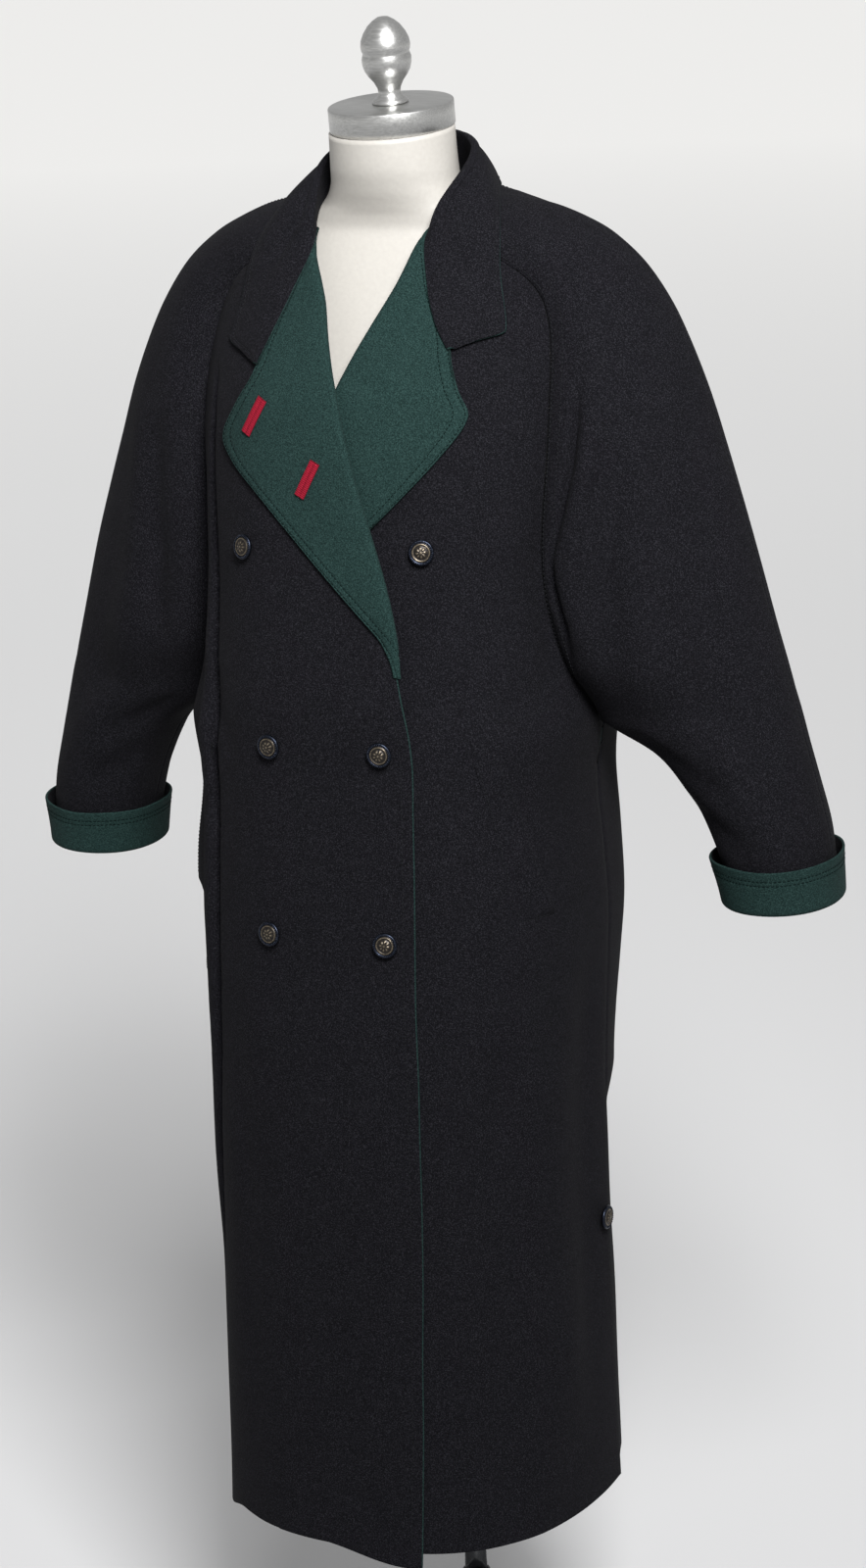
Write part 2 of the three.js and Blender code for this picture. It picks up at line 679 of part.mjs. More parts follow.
const POLE_SOCKET_Z = 24; // depth of the pole's socket above the floor
const BASE_PROFILE = [
  [0, 0],
  [BASE_RADIUS, 0],
  [BASE_RADIUS, 8],
  [BASE_RADIUS - 5, 12],
  [60, 20],
  [24, 34],
  [16, 56],
  [14.5, 116],
  [POLE_RADIUS + SEAM_GAP, 116],
  [POLE_RADIUS + SEAM_GAP, POLE_SOCKET_Z],
  [0, POLE_SOCKET_Z],
].map(([r, z]) => new THREE.Vector2(r, z));

const coat = new THREE.Group();
const form = new THREE.Group();
const group = new THREE.Group();
group.add(coat, form);

const wool = () => new THREE.MeshStandardMaterial({ color: 0x24262b, roughness: 0.95, metalness: 0 });
const greenWool = () => new THREE.MeshStandardMaterial({ color: 0x1f4a3f, roughness: 0.95, metalness: 0 });
const crimson = () => new THREE.MeshStandardMaterial({ color: 0x8e1c33, roughness: 0.8, metalness: 0 });
const metal = (color, roughness) => new THREE.MeshStandardMaterial({ color, roughness, metalness: 1 });

function addMesh(parent, name, geometry, material) {
  const mesh = new THREE.Mesh(geometry, material);
  mesh.name = name;
  parent.add(mesh);
  return mesh;
}

// Gives the pieces that meet at a point of a seam the same normal there, so that their edges face
// each other.
function mitre(...normals) {
  const mean = normals.reduce((sum, normal) => sum.add(normal), new THREE.Vector3()).normalize();
  normals.forEach((normal) => normal.copy(mean));
}

// A piece's grid and its normals, turned to point out of the coat: to -Y in front and to +Y behind.
function withNormals(grid, facing) {
  const normals = gridNormals(grid, false);
  const sum = normals.flat().reduce((total, normal) => total + normal.y, 0);
  if (sum * facing < 0) normals.flat().forEach((normal) => normal.negate());
  return { grid, normals };
}

panels.back = withNormals(backGrid(), 1);
for (const [side, mirror] of [["left", 1], ["right", -1]]) {
  panels[`front_${side}`] = withNormals(frontGrid(`front_${side}`), -1);
  panels[`sleeve_${side}_front`] = withNormals(sleeveGrid("front", mirror), -1);
  panels[`sleeve_${side}_back`] = withNormals(sleeveGrid("back", mirror), 1);
  const columnOf = (name, column) => panels[name].normals.map((line) => line.at(column));
  const body = [columnOf(`front_${side}`, -1), columnOf("back", mirror > 0 ? -1 : 0)];
  const sleeve = ["front", "back"].map((half) => columnOf(`sleeve_${side}_${half}`, 0));
  const waist = FRONT.findIndex((row) => row.z === UNDERARM_Z);
  const corner = FRONT.length - 1 - waist;
  for (let i = 0; i < waist; i++) mitre(body[0][i], body[1][i]);
  mitre(body[0][waist], body[1][waist], sleeve[0][corner], sleeve[1][corner]);
  for (let i = 0; i < corner; i++) [0, 1].forEach((half) => mitre(body[half].at(-1 - i), sleeve[half][i]));
  for (let i = corner + 1; i < SLEEVE.length; i++) mitre(sleeve[0][i], sleeve[1][i]);
  const over = ["front", "back"].map((half) => columnOf(`sleeve_${side}_${half}`, -1));
  over[0].forEach((normal, i) => mitre(normal, over[1][i]));
}
for (const [name, { grid, normals }] of Object.entries(panels))
  addMesh(coat, name, clothWall(grid, { normals }), wool());
addMesh(coat, "collar", clothWall(collarGrid()), wool());
for (const [side, mirror] of [["left", 1], ["right", -1]]) {
  const panel = `front_${side}`;
  addMesh(coat, `cuff_${side}`, clothWall(cuffGrid(mirror), { ring: true }), greenWool());
  addMesh(coat, `lapel_${side}`, clothWall(lapelGrid(panel)), greenWool());
  addMesh(coat, `pocket_welt_${side}`, clothWall(weltGrid(panel), { thickness: WELT.thickness }), wool());
  const ventX = sectionPoint(rowAt(FRONT, "z", VENT_BUTTON_Z), -1, degToRad(87.5)).x;
  addButton(`button_side_${side}`, panel, ventX, VENT_BUTTON_Z);
}
for (const hole of BUTTONHOLES)
  addMesh(coat, hole.name, clothWall(buttonholeGrid(hole), { thickness: BUTTONHOLE.height }), crimson());

BUTTON_ROWS.forEach(({ z, x }, i) => {
  addButton(`button_front_${2 * i + 1}`, "front_right", x, z);
  const onLeft = i === 0;
  addButton(`button_front_${2 * i + 2}`, onLeft ? "front_left" : "front_right", onLeft ? x : -x, z);
});

const white = new THREE.MeshStandardMaterial({ color: 0xe9e6df, roughness: 0.85, metalness: 0 });
addMesh(form, "form_torso", torsoGeometry(), white);

const cap = addMesh(
  form,
  "form_cap",
  new THREE.CylinderGeometry(NECK_RADIUS, NECK_RADIUS, CAP_HEIGHT, 32),
  metal(0xb9b9b7, 0.35),
);
const finial = addMesh(form, "form_finial", new THREE.LatheGeometry(FINIAL_PROFILE, 20), metal(0xb9b9b7, 0.3));
const upright = new THREE.Quaternion().setFromAxisAngle(new THREE.Vector3(1, 0, 0), Math.PI / 2 + CAP_TILT);
const capUp = new THREE.Vector3(0, 1, 0).applyQuaternion(upright);
for (const [piece, height] of [[cap, -CAP_HEIGHT / 2], [finial, SEAM_GAP]]) {
  piece.quaternion.copy(upright);
  piece.position.copy(CAP_CENTRE).addScaledVector(capUp, height);
}

const POLE_TOP_Z = TORSO[0].z - SEAM_GAP;
const poleLength = POLE_TOP_Z - POLE_SOCKET_Z - SEAM_GAP;
const pole = addMesh(form, "form_pole", new THREE.CylinderGeometry(POLE_RADIUS, POLE_RADIUS, poleLength, 24), metal(0xd0d2d4, 0.15));
pole.rotation.x = Math.PI / 2;
pole.position.z = POLE_TOP_Z - poleLength / 2;
const base = addMesh(form, "form_base", new THREE.LatheGeometry(BASE_PROFILE, 36), metal(0x2a2b2d, 0.5));
base.rotation.x = Math.PI / 2;

export default group;
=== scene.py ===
# The render scene of a long double-breasted coat of boiled wool on a dress form.
# Shapes are worked out in millimetres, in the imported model's frame, and made in metres.
import math
import bpy
import numpy as np
from mathutils import Matrix, Vector


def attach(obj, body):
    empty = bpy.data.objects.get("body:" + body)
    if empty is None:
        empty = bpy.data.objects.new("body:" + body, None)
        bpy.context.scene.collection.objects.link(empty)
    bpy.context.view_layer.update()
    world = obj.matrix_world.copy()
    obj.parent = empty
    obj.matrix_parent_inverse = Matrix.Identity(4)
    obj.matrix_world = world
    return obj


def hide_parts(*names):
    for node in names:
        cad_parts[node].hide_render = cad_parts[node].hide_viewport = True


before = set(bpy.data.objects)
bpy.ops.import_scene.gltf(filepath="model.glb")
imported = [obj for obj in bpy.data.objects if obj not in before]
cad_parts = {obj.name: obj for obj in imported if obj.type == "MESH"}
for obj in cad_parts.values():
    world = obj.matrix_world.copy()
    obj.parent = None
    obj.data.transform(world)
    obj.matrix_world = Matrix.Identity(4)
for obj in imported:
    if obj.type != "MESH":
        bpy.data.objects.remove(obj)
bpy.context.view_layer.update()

MM = 0.001
CLOTH = 2.4  # thickness of the boiled wool
SEAM_GAP = 0.34  # space between two pieces at a seam
LAP_LIFT = 3.5  # from one lying layer to the next
ROLL_RADIUS = 3.4  # of a soft turn of the cloth, at its middle
ROLL_CLEARANCE = 1.2  # from a front's edge to the lapel's first point
HEM_Z = 288
VENT_TOP_Z = 690
VENT_LAP = 17  # how far the back runs on under the front
SQUARE = 2.5  # squareness of the body's sections, 2 is an ellipse
CUFF_DEPTH = 41  # how far a cuff is turned back
CUFF_RADIUS = 3.9
CUFF_FLARE = 1.5
CUFF_ROWS = (9, 13.5)  # the stitched rows' distances from the cuff's edge
BUTTON_HEIGHT = 6
BUTTON_ROWS = [(1225, 83), (1051, 54), (878, 57)]
VENT_BUTTON_Z = 563
NECK_RADIUS = 57
CAP_CENTRE = np.array([0, -44, 1600.0])
CAP_HEIGHT = 22
CAP_TILT = math.radians(6.2)
POLE_RADIUS = 11.5
POLE_SOCKET_Z = 24
BASE_RADIUS = 185
SIDES = (("left", 1), ("right", -1))  # the wearer's
WAIST_ROW = 12  # the row of the fronts and the back where the sleeves leave the body
CORNER_ROW = 13  # the same corner's row in the sleeve's table


def table(names, rows):
    return {name: np.array([row[i] for row in rows], float) for i, name in enumerate(names.split())}


FRONT = table("z depth seamX seamY turn edge", [
    [288, 288, 190, -68, 90, -75],
    [345, 284, 188, -67, 90, -77],
    [410, 281, 187, -66, 90, -79],
    [480, 278, 186, -65, 90, -80],
    [550, 275, 185, -65, 90, -82],
    [620, 272, 185, -64, 90, -83],
    [690, 269, 185, -64, 90, -83],
    [750, 265, 187, -63, 90, -83],
    [810, 261, 190, -62, 90, -82],
    [870, 256, 192, -60, 90, -82],
    [930, 251, 189, -60, 90, -82],
    [990, 245, 185, -60, 90, -81],
    [1052, 238, 192, -62, 90, -80],
    [1108, 229, 178, -104, 75, -69],
    [1155, 221, 168, -116, 70, -61],
    [1200, 214, 164, -120, 68, -51],
    [1245, 206, 166, -120, 68, -37],
    [1300, 196, 170, -115, 66, -18],
    [1348, 182, 170, -105, 64, -2],
    [1382, 166, 168, -94, 62, 12],
    [1412, 150, 163, -84, 60, 25],
    [1435, 137, 154, -80, 58, 35],
    [1452, 127, 140, -83, 55, 42],
    [1467, 114, 118, -87, 50, 48],
    [1481, 98, 90, -84, 45, 52.5],
    [1492, 84, 68, -74, 45, 56],
])

BACK = table("z depth seamX seamY turn", [
    [288, 77, 190, -68, 90],
    [345, 81, 188, -67, 90],
    [410, 83, 187, -66, 90],
    [480, 82, 186, -65, 90],
    [550, 79, 185, -65, 90],
    [620, 76, 185, -64, 90],
    [690, 74, 185, -64, 90],
    [750, 77, 187, -63, 90],
    [810, 83, 190, -62, 90],
    [870, 90, 192, -60, 90],
    [930, 96, 189, -60, 90],
    [990, 101, 185, -60, 90],
    [1052, 104, 192, -62, 90],
    [1085, 108, 188, -22, 75],
    [1120, 109, 180, 0, 68],
    [1165, 110, 172, 18, 64],
    [1210, 110, 167, 32, 60],
    [1255, 110, 163, 42, 58],
    [1300, 109, 157, 50, 56],
    [1345, 107, 150, 58, 55],
    [1385, 103, 142, 64, 55],
    [1418, 97, 132, 67, 55],
    [1450, 87, 118, 67, 55],
    [1480, 73, 98, 62, 55],
    [1508, 53, 74, 47, 50],
    [1524, 34, 50, 32, 45],
])

SLEEVE = table("i overX overY overZ frontX frontY frontZ backX backY backZ roundF roundB", [
    [0, 74, -26, 1518, 10, 8, 11, 10, -6, 3, 14, 14],
    [1, 108, -20, 1513, 8, 6, 20, 12, -8, 8, 20, 20],
    [2, 140, -15, 1506, 12, 4, 24, 18, -8, 16, 24, 24],
    [3, 170, -12, 1494, 20, 0, 26, 26, -6, 22, 28, 28],
    [4, 196, -10, 1480, 28, -4, 26, 34, -2, 26, 32, 32],
    [5, 223, -11, 1457, 36, -10, 22, 42, 2, 26, 38, 38],
    [6, 247, -12, 1424, 42, -18, 16, 48, 8, 24, 44, 42],
    [7, 265, -14, 1390, 44, -24, 10, 52, 12, 20, 50, 46],
    [8, 284, -17, 1345, 44, -30, 6, 54, 16, 16, 56, 50],
    [9, 301, -20, 1294, 42, -36, 2, 54, 20, 12, 62, 54],
    [10, 317, -23, 1242, 40, -42, 0, 52, 26, 6, 68, 58],
    [11, 332, -26, 1190, 38, -48, -2, 46, 36, 2, 74, 62],
    [12, 348, -27, 1130, 34, -58, -4, 38, 50, 0, 80, 68],
    [13, 364, -28, 1074, 18, -74, -8, 18, 66, -6, 86, 74],
    [14, 376, -29, 1028, 4, -84, -4, 4, 74, -4, 86, 78],
    [15, 386, -29, 990, 0, -84, 0, 0, 78, 0, 84, 78],
    [16, 396, -29, 950, 0, -80, 0, 0, 76, 0, 80, 76],
    [17, 400, -29, 915, 0, -76, 0, 0, 74, 0, 76, 74],
    [18, 400, -28, 886, 0, -73, 0, 0, 72, 0, 73, 72],
])
UNDER = table("i x y z", [
    [13, 192, -62, 1052],
    [14, 243, -48, 1022],
    [15, 268, -40, 992],
    [16, 287, -34, 956],
    [17, 300, -30, 918],
    [18, 306, -28, 883],
])

# A lapel's edge lies under the collar above rollZ 1430
LAPEL = {
    1: table("rollZ edgeX edgeZ", [
        [1118, -66.5, 1119],
        [1131, -63, 1134],
        [1143, -56.5, 1147],
        [1155, -46, 1160],
        [1200, 12, 1218],
        [1245, 62, 1268],
        [1300, 98, 1308],
        [1348, 116.5, 1339],
        [1382, 107, 1361],
        [1412, 99, 1382],
        [1435, 92, 1406],
        [1452, 79, 1432],
        [1467, 69, 1457],
        [1481, 59, 1477],
        [1491, 60, 1490],
    ]),
    -1: table("rollZ edgeX edgeZ", [
        [1118, -66.5, 1119],
        [1131, -63, 1134],
        [1143, -56.5, 1147],
        [1155, -46, 1160],
        [1200, 12, 1218],
        [1245, 67, 1271],
        [1300, 102, 1300],
        [1348, 115, 1320],
        [1382, 100, 1348],
        [1412, 86, 1371],
        [1435, 79, 1396],
        [1452, 71, 1425],
        [1467, 61, 1454],
        [1481, 56, 1477],
        [1491, 60, 1490],
    ]),
}

COLLAR = table("i seamX seamY seamZ foldX foldY foldZ edgeX edgeY edgeZ bow", [
    [0, 0, 33, 1530, 0, 27, 1568, 0, 75, 1499, 3],
    [1, 26, 29, 1529, 28, 22, 1568, 38, 70, 1503, 3],
    [2, 48, 14, 1528, 52, 8, 1566, 63, 50, 1514, 3],
    [3, 64, -10, 1525, 69, -14, 1559, 79, 13, 1523, 3],
    [4, 71, -34, 1519, 75, -36, 1549, 97, -30, 1521, 4],
    [5, 70, -56, 1511, 73, -57, 1536, 112, -64, 1505, 6],
    [6, 65, -76, 1501, 68, -79, 1520, 121, -87, 1480, 8],
    [7, 59, -93, 1491, 62, -97, 1503, 125, -102, 1459, 8],
])
GORGE = {
    1: table("seamX seamZ edgeX edgeZ", [
        [50, 1483, 128, 1439],
        [61, 1461, 133, 1421],
        [69, 1439, 135.5, 1407],
        [80, 1414, 117, 1401],
        [93.5, 1393.5, 98, 1395.5],
    ]),
    -1: table("seamX seamZ edgeX edgeZ", [
        [46, 1477, 117, 1439],
        [53, 1458, 121, 1418],
        [61, 1432, 124.5, 1398],
        [71, 1402, 104, 1389],
        [80.5, 1379, 86, 1381.5],
    ]),
}

TORSO = table("z halfWidth front back middle", [
    [770, 150, 92, 96, -40],
    [800, 160, 98, 104, -40],
    [880, 166, 100, 108, -40],
    [960, 154, 96, 98, -40],
    [1060, 124, 88, 80, -42],
    [1150, 132, 98, 84, -44],
    [1230, 146, 116, 92, -46],
    [1280, 152, 122, 98, -46],
    [1330, 154, 112, 104, -46],
    [1380, 156, 92, 106, -44],
    [1420, 156, 74, 98, -42],
    [1450, 146, 60, 86, -40],
    [1475, 126, 48, 72, -38],
    [1490, 104, 42, 60, -37],
    [1502, 87.5, 43, 54, -37],
    [1512, 71.8, 46, 52, -38],
    [1527, 61.5, 51, 54, -40],
    [1545, 58.5, 55, 56, -42],
    [1577.6, 57, 57, 57, -44],
])


def lerp(a, b, t):
    return a + (b - a) * t


def smoothstep(x, low, high):
    t = np.clip((np.asarray(x, float) - low) / (high - low), 0, 1)
    return t * t * (3 - 2 * t)


def points_of(x, y, z):
    return np.stack(np.broadcast_arrays(x, y, z), -1)


def unit(v):
    return v / np.maximum(np.linalg.norm(v, axis=-1, keepdims=True), 1e-9)


def row_at(rows, key, value):
    """Smooth curves through a table's rows, read at any key between them."""
    keys = rows[key]
    way = 1 if keys[-1] > keys[0] else -1
    value = np.asarray(value, float)
    i = np.clip(np.searchsorted(way * keys, way * value, side="right") - 1, 0, len(keys) - 2)
    step = keys[i + 1] - keys[i]
    t = np.clip((value - keys[i]) / step, 0, 1)
    low = np.maximum(np.arange(len(keys)) - 1, 0)
    high = np.minimum(np.arange(len(keys)) + 1, len(keys) - 1)
    found = {}
    for name, column in rows.items():
        slope = (column[high] - column[low]) / (keys[high] - keys[low])
        found[name] = (
            column[i] * (1 + 2 * t) * (1 - t) ** 2
            + column[i + 1] * (3 - 2 * t) * t**2
            + step * (slope[i] * t * (1 - t) ** 2 - slope[i + 1] * t**2 * (1 - t))
        )
    found[key] = value
    return found


def across_rows(rows, heights):
    """A panel's sizes at its heights, as columns that spread across it."""
    return {name: v[:, None] for name, v in row_at(rows, "z", heights).items()}


# Creases: soft troughs and ridges on a piece, each a line through points given as how far across the
# piece it lies and its height, in millimetres, with its depth (minus is a trough) and its width.
CREASES = {
    "front_right": [
        (-16, 4.5, [(151, 1385), (146, 1330), (137, 1178), (131, 1000), (135, 815), (148, 640), (163, 500)]),
        (5, 11, [(164, 1350), (153, 1178), (146, 1000), (150, 815), (163, 640), (176, 520)]),
        (-3.3, 16, [(150, 1130), (118, 1060), (84, 1035)]),
        (2.7, 22, [(196, 1250), (204, 1080), (212, 880)]),
        (-2.2, 26, [(70, 820), (66, 640), (78, 430)]),
        (3, 30, [(118, 760), (112, 560), (122, 330)]),
        (-2.7, 28, [(236, 900), (246, 640), (240, 380)]),
    ],
    "front_left": [
        (-3.3, 20, [(196, 1240), (206, 1150), (228, 1085)]),
        (2.7, 24, [(150, 1290), (156, 1170), (172, 1085)]),
        (-2.8, 26, [(112, 1180), (104, 1080), (116, 960)]),
        (2.7, 30, [(74, 840), (84, 620), (70, 380)]),
        (-3.6, 30, [(138, 800), (150, 560), (144, 320)]),
        (3.3, 32, [(206, 790), (214, 560), (224, 340)]),
        (-3.6, 26, [(268, 860), (262, 640), (276, 400)]),
    ],
    "back": [
        (-5.2, 26, [(6, 900), (-4, 640), (4, 300)]),
        (3.9, 30, [(-62, 940), (-70, 640), (-58, 310)]),
        (3.6, 30, [(70, 920), (62, 620), (72, 310)]),
        (-4.2, 26, [(-128, 880), (-122, 600), (-136, 330)]),
        (-4.5, 24, [(134, 900), (140, 640), (128, 330)]),
        (-3.3, 22, [(-150, 1250), (-130, 1150), (-150, 1060)]),
        (-3.3, 24, [(146, 1260), (128, 1140), (152, 1060)]),
        (2.4, 30, [(0, 1400), (8, 1280), (-4, 1120)]),
    ],
    "sleeve_left_front": [
        (-9.0, 5, [(33, 1390), (31, 1340), (29, 1294), (22, 1248), (13, 1210), (14, 1187), (23, 1146), (16, 1100)]),
        (3.5, 12, [(47, 1370), (45, 1294), (38, 1248), (30, 1205), (34, 1150), (32, 1110)]),
        (-4.5, 16, [(64, 1330), (72, 1240), (66, 1150), (52, 1085)]),
        (3.9, 20, [(88, 1360), (98, 1240), (92, 1130), (74, 1040)]),
        (-3.9, 18, [(40, 1050), (70, 1010), (98, 985)]),
        (-3.3, 16, [(30, 985), (60, 955), (92, 942)]),
        (3, 20, [(120, 1260), (124, 1120), (112, 1000)]),
        (-3, 22, [(140, 1180), (142, 1060), (128, 950)]),
    ],
    "sleeve_right_front": [
        (-6.3, 15, [(52, 1340), (62, 1250), (64, 1160), (52, 1090)]),
        (3.6, 20, [(84, 1350), (92, 1230), (94, 1120), (80, 1030)]),
        (-4.2, 17, [(36, 1060), (64, 1022), (94, 1004)]),
        (-3.6, 16, [(34, 1000), (62, 968), (96, 950)]),
        (-3, 22, [(132, 1230), (136, 1100), (124, 980)]),
        (2.7, 22, [(112, 1160), (116, 1040), (104, 930)]),
    ],
    "sleeve_left_back": [
        (-4.5, 20, [(60, 1330), (74, 1220), (62, 1120)]),
        (3.3, 24, [(104, 1360), (118, 1220), (110, 1080)]),
        (-3.9, 18, [(36, 1040), (66, 1000), (100, 985)]),
        (-3, 18, [(30, 975), (62, 945), (94, 938)]),
    ],
    "sleeve_right_back": [
        (-4.8, 20, [(64, 1340), (70, 1230), (58, 1110)]),
        (3.6, 24, [(108, 1350), (114, 1210), (104, 1070)]),
        (-3.6, 18, [(40, 1050), (70, 1014), (104, 994)]),
        (-3.3, 18, [(34, 985), (60, 952), (98, 940)]),
    ],
}


def crease_depth(name, across, z):
    """How far a piece's creases move it out at each point."""
    total = np.zeros_like(across)
    for depth, width, points in CREASES.get(name, []):
        best = np.full(across.shape, 1e9)
        place = np.zeros_like(across)
        spans = len(points) - 1
        for k in range(spans):
            (a0, z0), (a1, z1) = points[k], points[k + 1]
            run = (a1 - a0) ** 2 + (z1 - z0) ** 2
            t = np.clip(((across - a0) * (a1 - a0) + (z - z0) * (z1 - z0)) / run, 0, 1)
            away = np.hypot(across - lerp(a0, a1, t), z - lerp(z0, z1, t))
            nearer = away < best
            best = np.where(nearer, away, best)
            place = np.where(nearer, (k + t) / spans, place)
        fade = smoothstep(place, 0, 0.22) * smoothstep(1 - place, 0, 0.25)
        uneven = 1 + 0.25 * np.sin(9 * place + width)
        total += depth * uneven * fade * np.exp(-((best / width) ** 2))
    return total


def swell(across, z, seed, height=0.8):
    """The cloth's broad unevenness."""
    draw = np.random.default_rng(seed)
    total = np.zeros_like(across)
    for _ in range(7):
        wide, tall = draw.uniform(50, 120), draw.uniform(120, 380)
        phase = draw.uniform(0, 2 * math.pi, 2)
        total += np.sin(2 * math.pi * across / wide + phase[0] + 0.6 * np.sin(2 * math.pi * z / tall + phase[1]))
    return height * total / 3.5


# Body panels
def section_point(row, outward, angle):
    power = 2 / SQUARE
    turn = np.radians(row["turn"])
    half_width = row["seamX"] / np.sin(turn) ** power
    sweep = (row["depth"] - outward * row["seamY"]) / (1 - np.maximum(0, np.cos(turn)) ** power)
    x = half_width * np.sign(angle) * np.abs(np.sin(angle)) ** power
    inward = sweep * (1 - np.abs(np.cos(angle)) ** power)
    return x, outward * (row["depth"] - inward)


def section_angle(row, x):
    power = 2 / SQUARE
    half_width = row["seamX"] / np.sin(np.radians(row["turn"])) ** power
    return np.sign(x) * np.arcsin(np.minimum(1, (np.abs(x) / half_width) ** (1 / power)))


def lap_lift(x, z):
    layers = 1 + 2.5 * smoothstep(z, 1020, 1100) * (1 - smoothstep(z, 1340, 1470))
    return LAP_LIFT * layers * (1 - smoothstep(x, 60, 165)) * (1 - smoothstep(z, 1400, 1490))


def hem_drop(x, z):
    by_edge, by_side = 17 * smoothstep(-x, -30, 70), 20 * smoothstep(x, 120, 168)
    return (by_edge + by_side - 3) * (1 - smoothstep(z, HEM_Z, HEM_Z + 80))


def front_by_angle(side, row, angle):
    """A front's smooth middle surface; side is 1 for the wearer's left and -1 for the right."""
    x, y = section_point(row, -1, angle)
    ahead, behind = section_point(row, -1, angle + 0.01), section_point(row, -1, angle - 0.01)
    normal = unit(np.stack([ahead[1] - behind[1], behind[0] - ahead[0]], -1))
    lift, drop = (lap_lift(x, row["z"]), hem_drop(x, row["z"])) if side < 0 else (0, 0)
    return points_of(side * (x + normal[..., 0] * lift), y + normal[..., 1] * lift, row["z"] - drop)


def front_surface(side, x, z, out=0.0):
    """The point of a front at its own x and a height, moved out along the surface's normal."""
    x, z = np.broadcast_arrays(np.asarray(x, float), np.asarray(z, float))
    row = row_at(FRONT, "z", z)

    def at(own_x, height):
        here = row_at(FRONT, "z", height)
        return front_by_angle(side, here, section_angle(here, own_x))

    own = x.copy()
    for _ in range(4):
        own = own + x - side * at(own, z)[..., 0]
    point = at(own, z)
    across = at(own + 1, z) - at(own - 1, z)
    up = at(own, z + 4) - at(own, z - 4)
    normal = unit(np.cross(across, up)) * side
    point[..., 2] = z
    return point + normal * np.asarray(out, float)[..., None], normal


STEPS_BODY = 12  # fine rows in each row of the tables below the underarm
STEPS_RAGLAN = 10  # and above it
STEPS_UNDER = 9  # and down the sleeve


def fine_rows(keys):
    """Heights between a body panel's rows, as many to a row on each panel, so that seams match."""
    found = []
    for i in range(len(keys) - 1):
        steps = STEPS_BODY if i < WAIST_ROW else STEPS_RAGLAN
        found.extend(lerp(keys[i], keys[i + 1], k / steps) for k in range(steps))
    return np.array(found + [keys[-1]])


def roll_x(side, row):
    """A front's own edge: further to the wearer's left near the neck, and the right one's top under the collar."""
    shift = 4.5 * side * smoothstep(row["z"], 1370, 1465) * (1 - smoothstep(row["z"], 1445, 1480))
    return row["edge"] + shift + (6 * smoothstep(row["z"], 1425, 1472) if side < 0 else 0)


def front_grid(side, columns=112):
    row = across_rows(FRONT, fine_rows(FRONT["z"]))
    first = section_angle(row, roll_x(side, row))
    u = np.linspace(0, 1, columns + 1)[None, :]
    return front_by_angle(side, row, lerp(first, np.radians(row["turn"]), u))


def vent_pull(x, y, z):
    """How far the back is drawn in at its sides, above the vents and where they stand open."""
    above = 6 * smoothstep(y, -62, -15) * smoothstep(VENT_TOP_Z + 180 - z, 0, 170)
    return smoothstep(np.abs(x), 95, 172) * (above + 9 * smoothstep(VENT_TOP_Z - z, -8, 45))


def back_grid(columns=120):
    row = across_rows(BACK, fine_rows(BACK["z"]))
    turn = np.radians(row["turn"])
    x, y = section_point(row, 1, lerp(-turn, turn, np.linspace(0, 1, columns + 1)[None, :]))
    x = x - np.sign(x) * vent_pull(x, y, row["z"])
    return points_of(x, y, row["z"])


def sleeve_grid(half, side, columns=58):
    body = FRONT if half == "front" else BACK
    heights = fine_rows(body["z"])[WAIST_ROW * STEPS_BODY:][::-1]
    seam = row_at(body, "z", heights)
    raglan = points_of(seam["seamX"], seam["seamY"], heights)
    steps = len(raglan) - 1
    down = CORNER_ROW + np.arange(1, 5 * STEPS_UNDER + 1) / STEPS_UNDER
    index = np.concatenate([np.arange(steps + 1) / STEPS_RAGLAN, down])
    under = row_at(UNDER, "i", index[steps + 1:])
    start = np.concatenate([raglan, points_of(under["x"], under["y"], under["z"])])
    row = row_at(SLEEVE, "i", index)
    end, leave = (points_of(*(row[name + axis] for axis in "XYZ")) for name in ("over", half))
    full = np.zeros_like(end)
    full[:, 1] = -row["roundF"] if half == "front" else row["roundB"]
    points = [p[:, None, :] for p in (start, start + leave, end + full, end)]
    t = np.linspace(0, 1, columns + 1)[None, :, None]
    weights = [(1 - t) ** 3, 3 * t * (1 - t) ** 2, 3 * t * t * (1 - t), t**3]
    grid = sum(w * p for w, p in zip(weights, points))
    return grid * np.array([side, 1, 1.0])


def grid_normals(grid, ring=False):
    def along(a, axis, wrap):
        if wrap:
            return np.roll(a, -1, axis) - np.roll(a, 1, axis)
        return np.gradient(a, axis=axis, edge_order=2)

    return unit(np.cross(along(grid, 1, ring), along(grid, 0, False)))


def across_of(grid, zero=0):
    """How far across each point of a grid lies, along its row, from the column zero."""
    steps = np.linalg.norm(np.diff(grid, axis=1), axis=-1)
    total = np.concatenate([np.zeros((len(grid), 1)), np.cumsum(steps, 1)], 1)
    zero = np.broadcast_to(np.asarray(zero), (len(grid),))
    return total - total[np.arange(len(grid)), zero][:, None]


def outward(grid, towards, part=..., ring=False):
    """A grid's normals, turned so that those of a part of it point towards a direction."""
    normals = grid_normals(grid, ring)
    return normals if (normals[part] * np.asarray(towards)).sum() > 0 else -normals


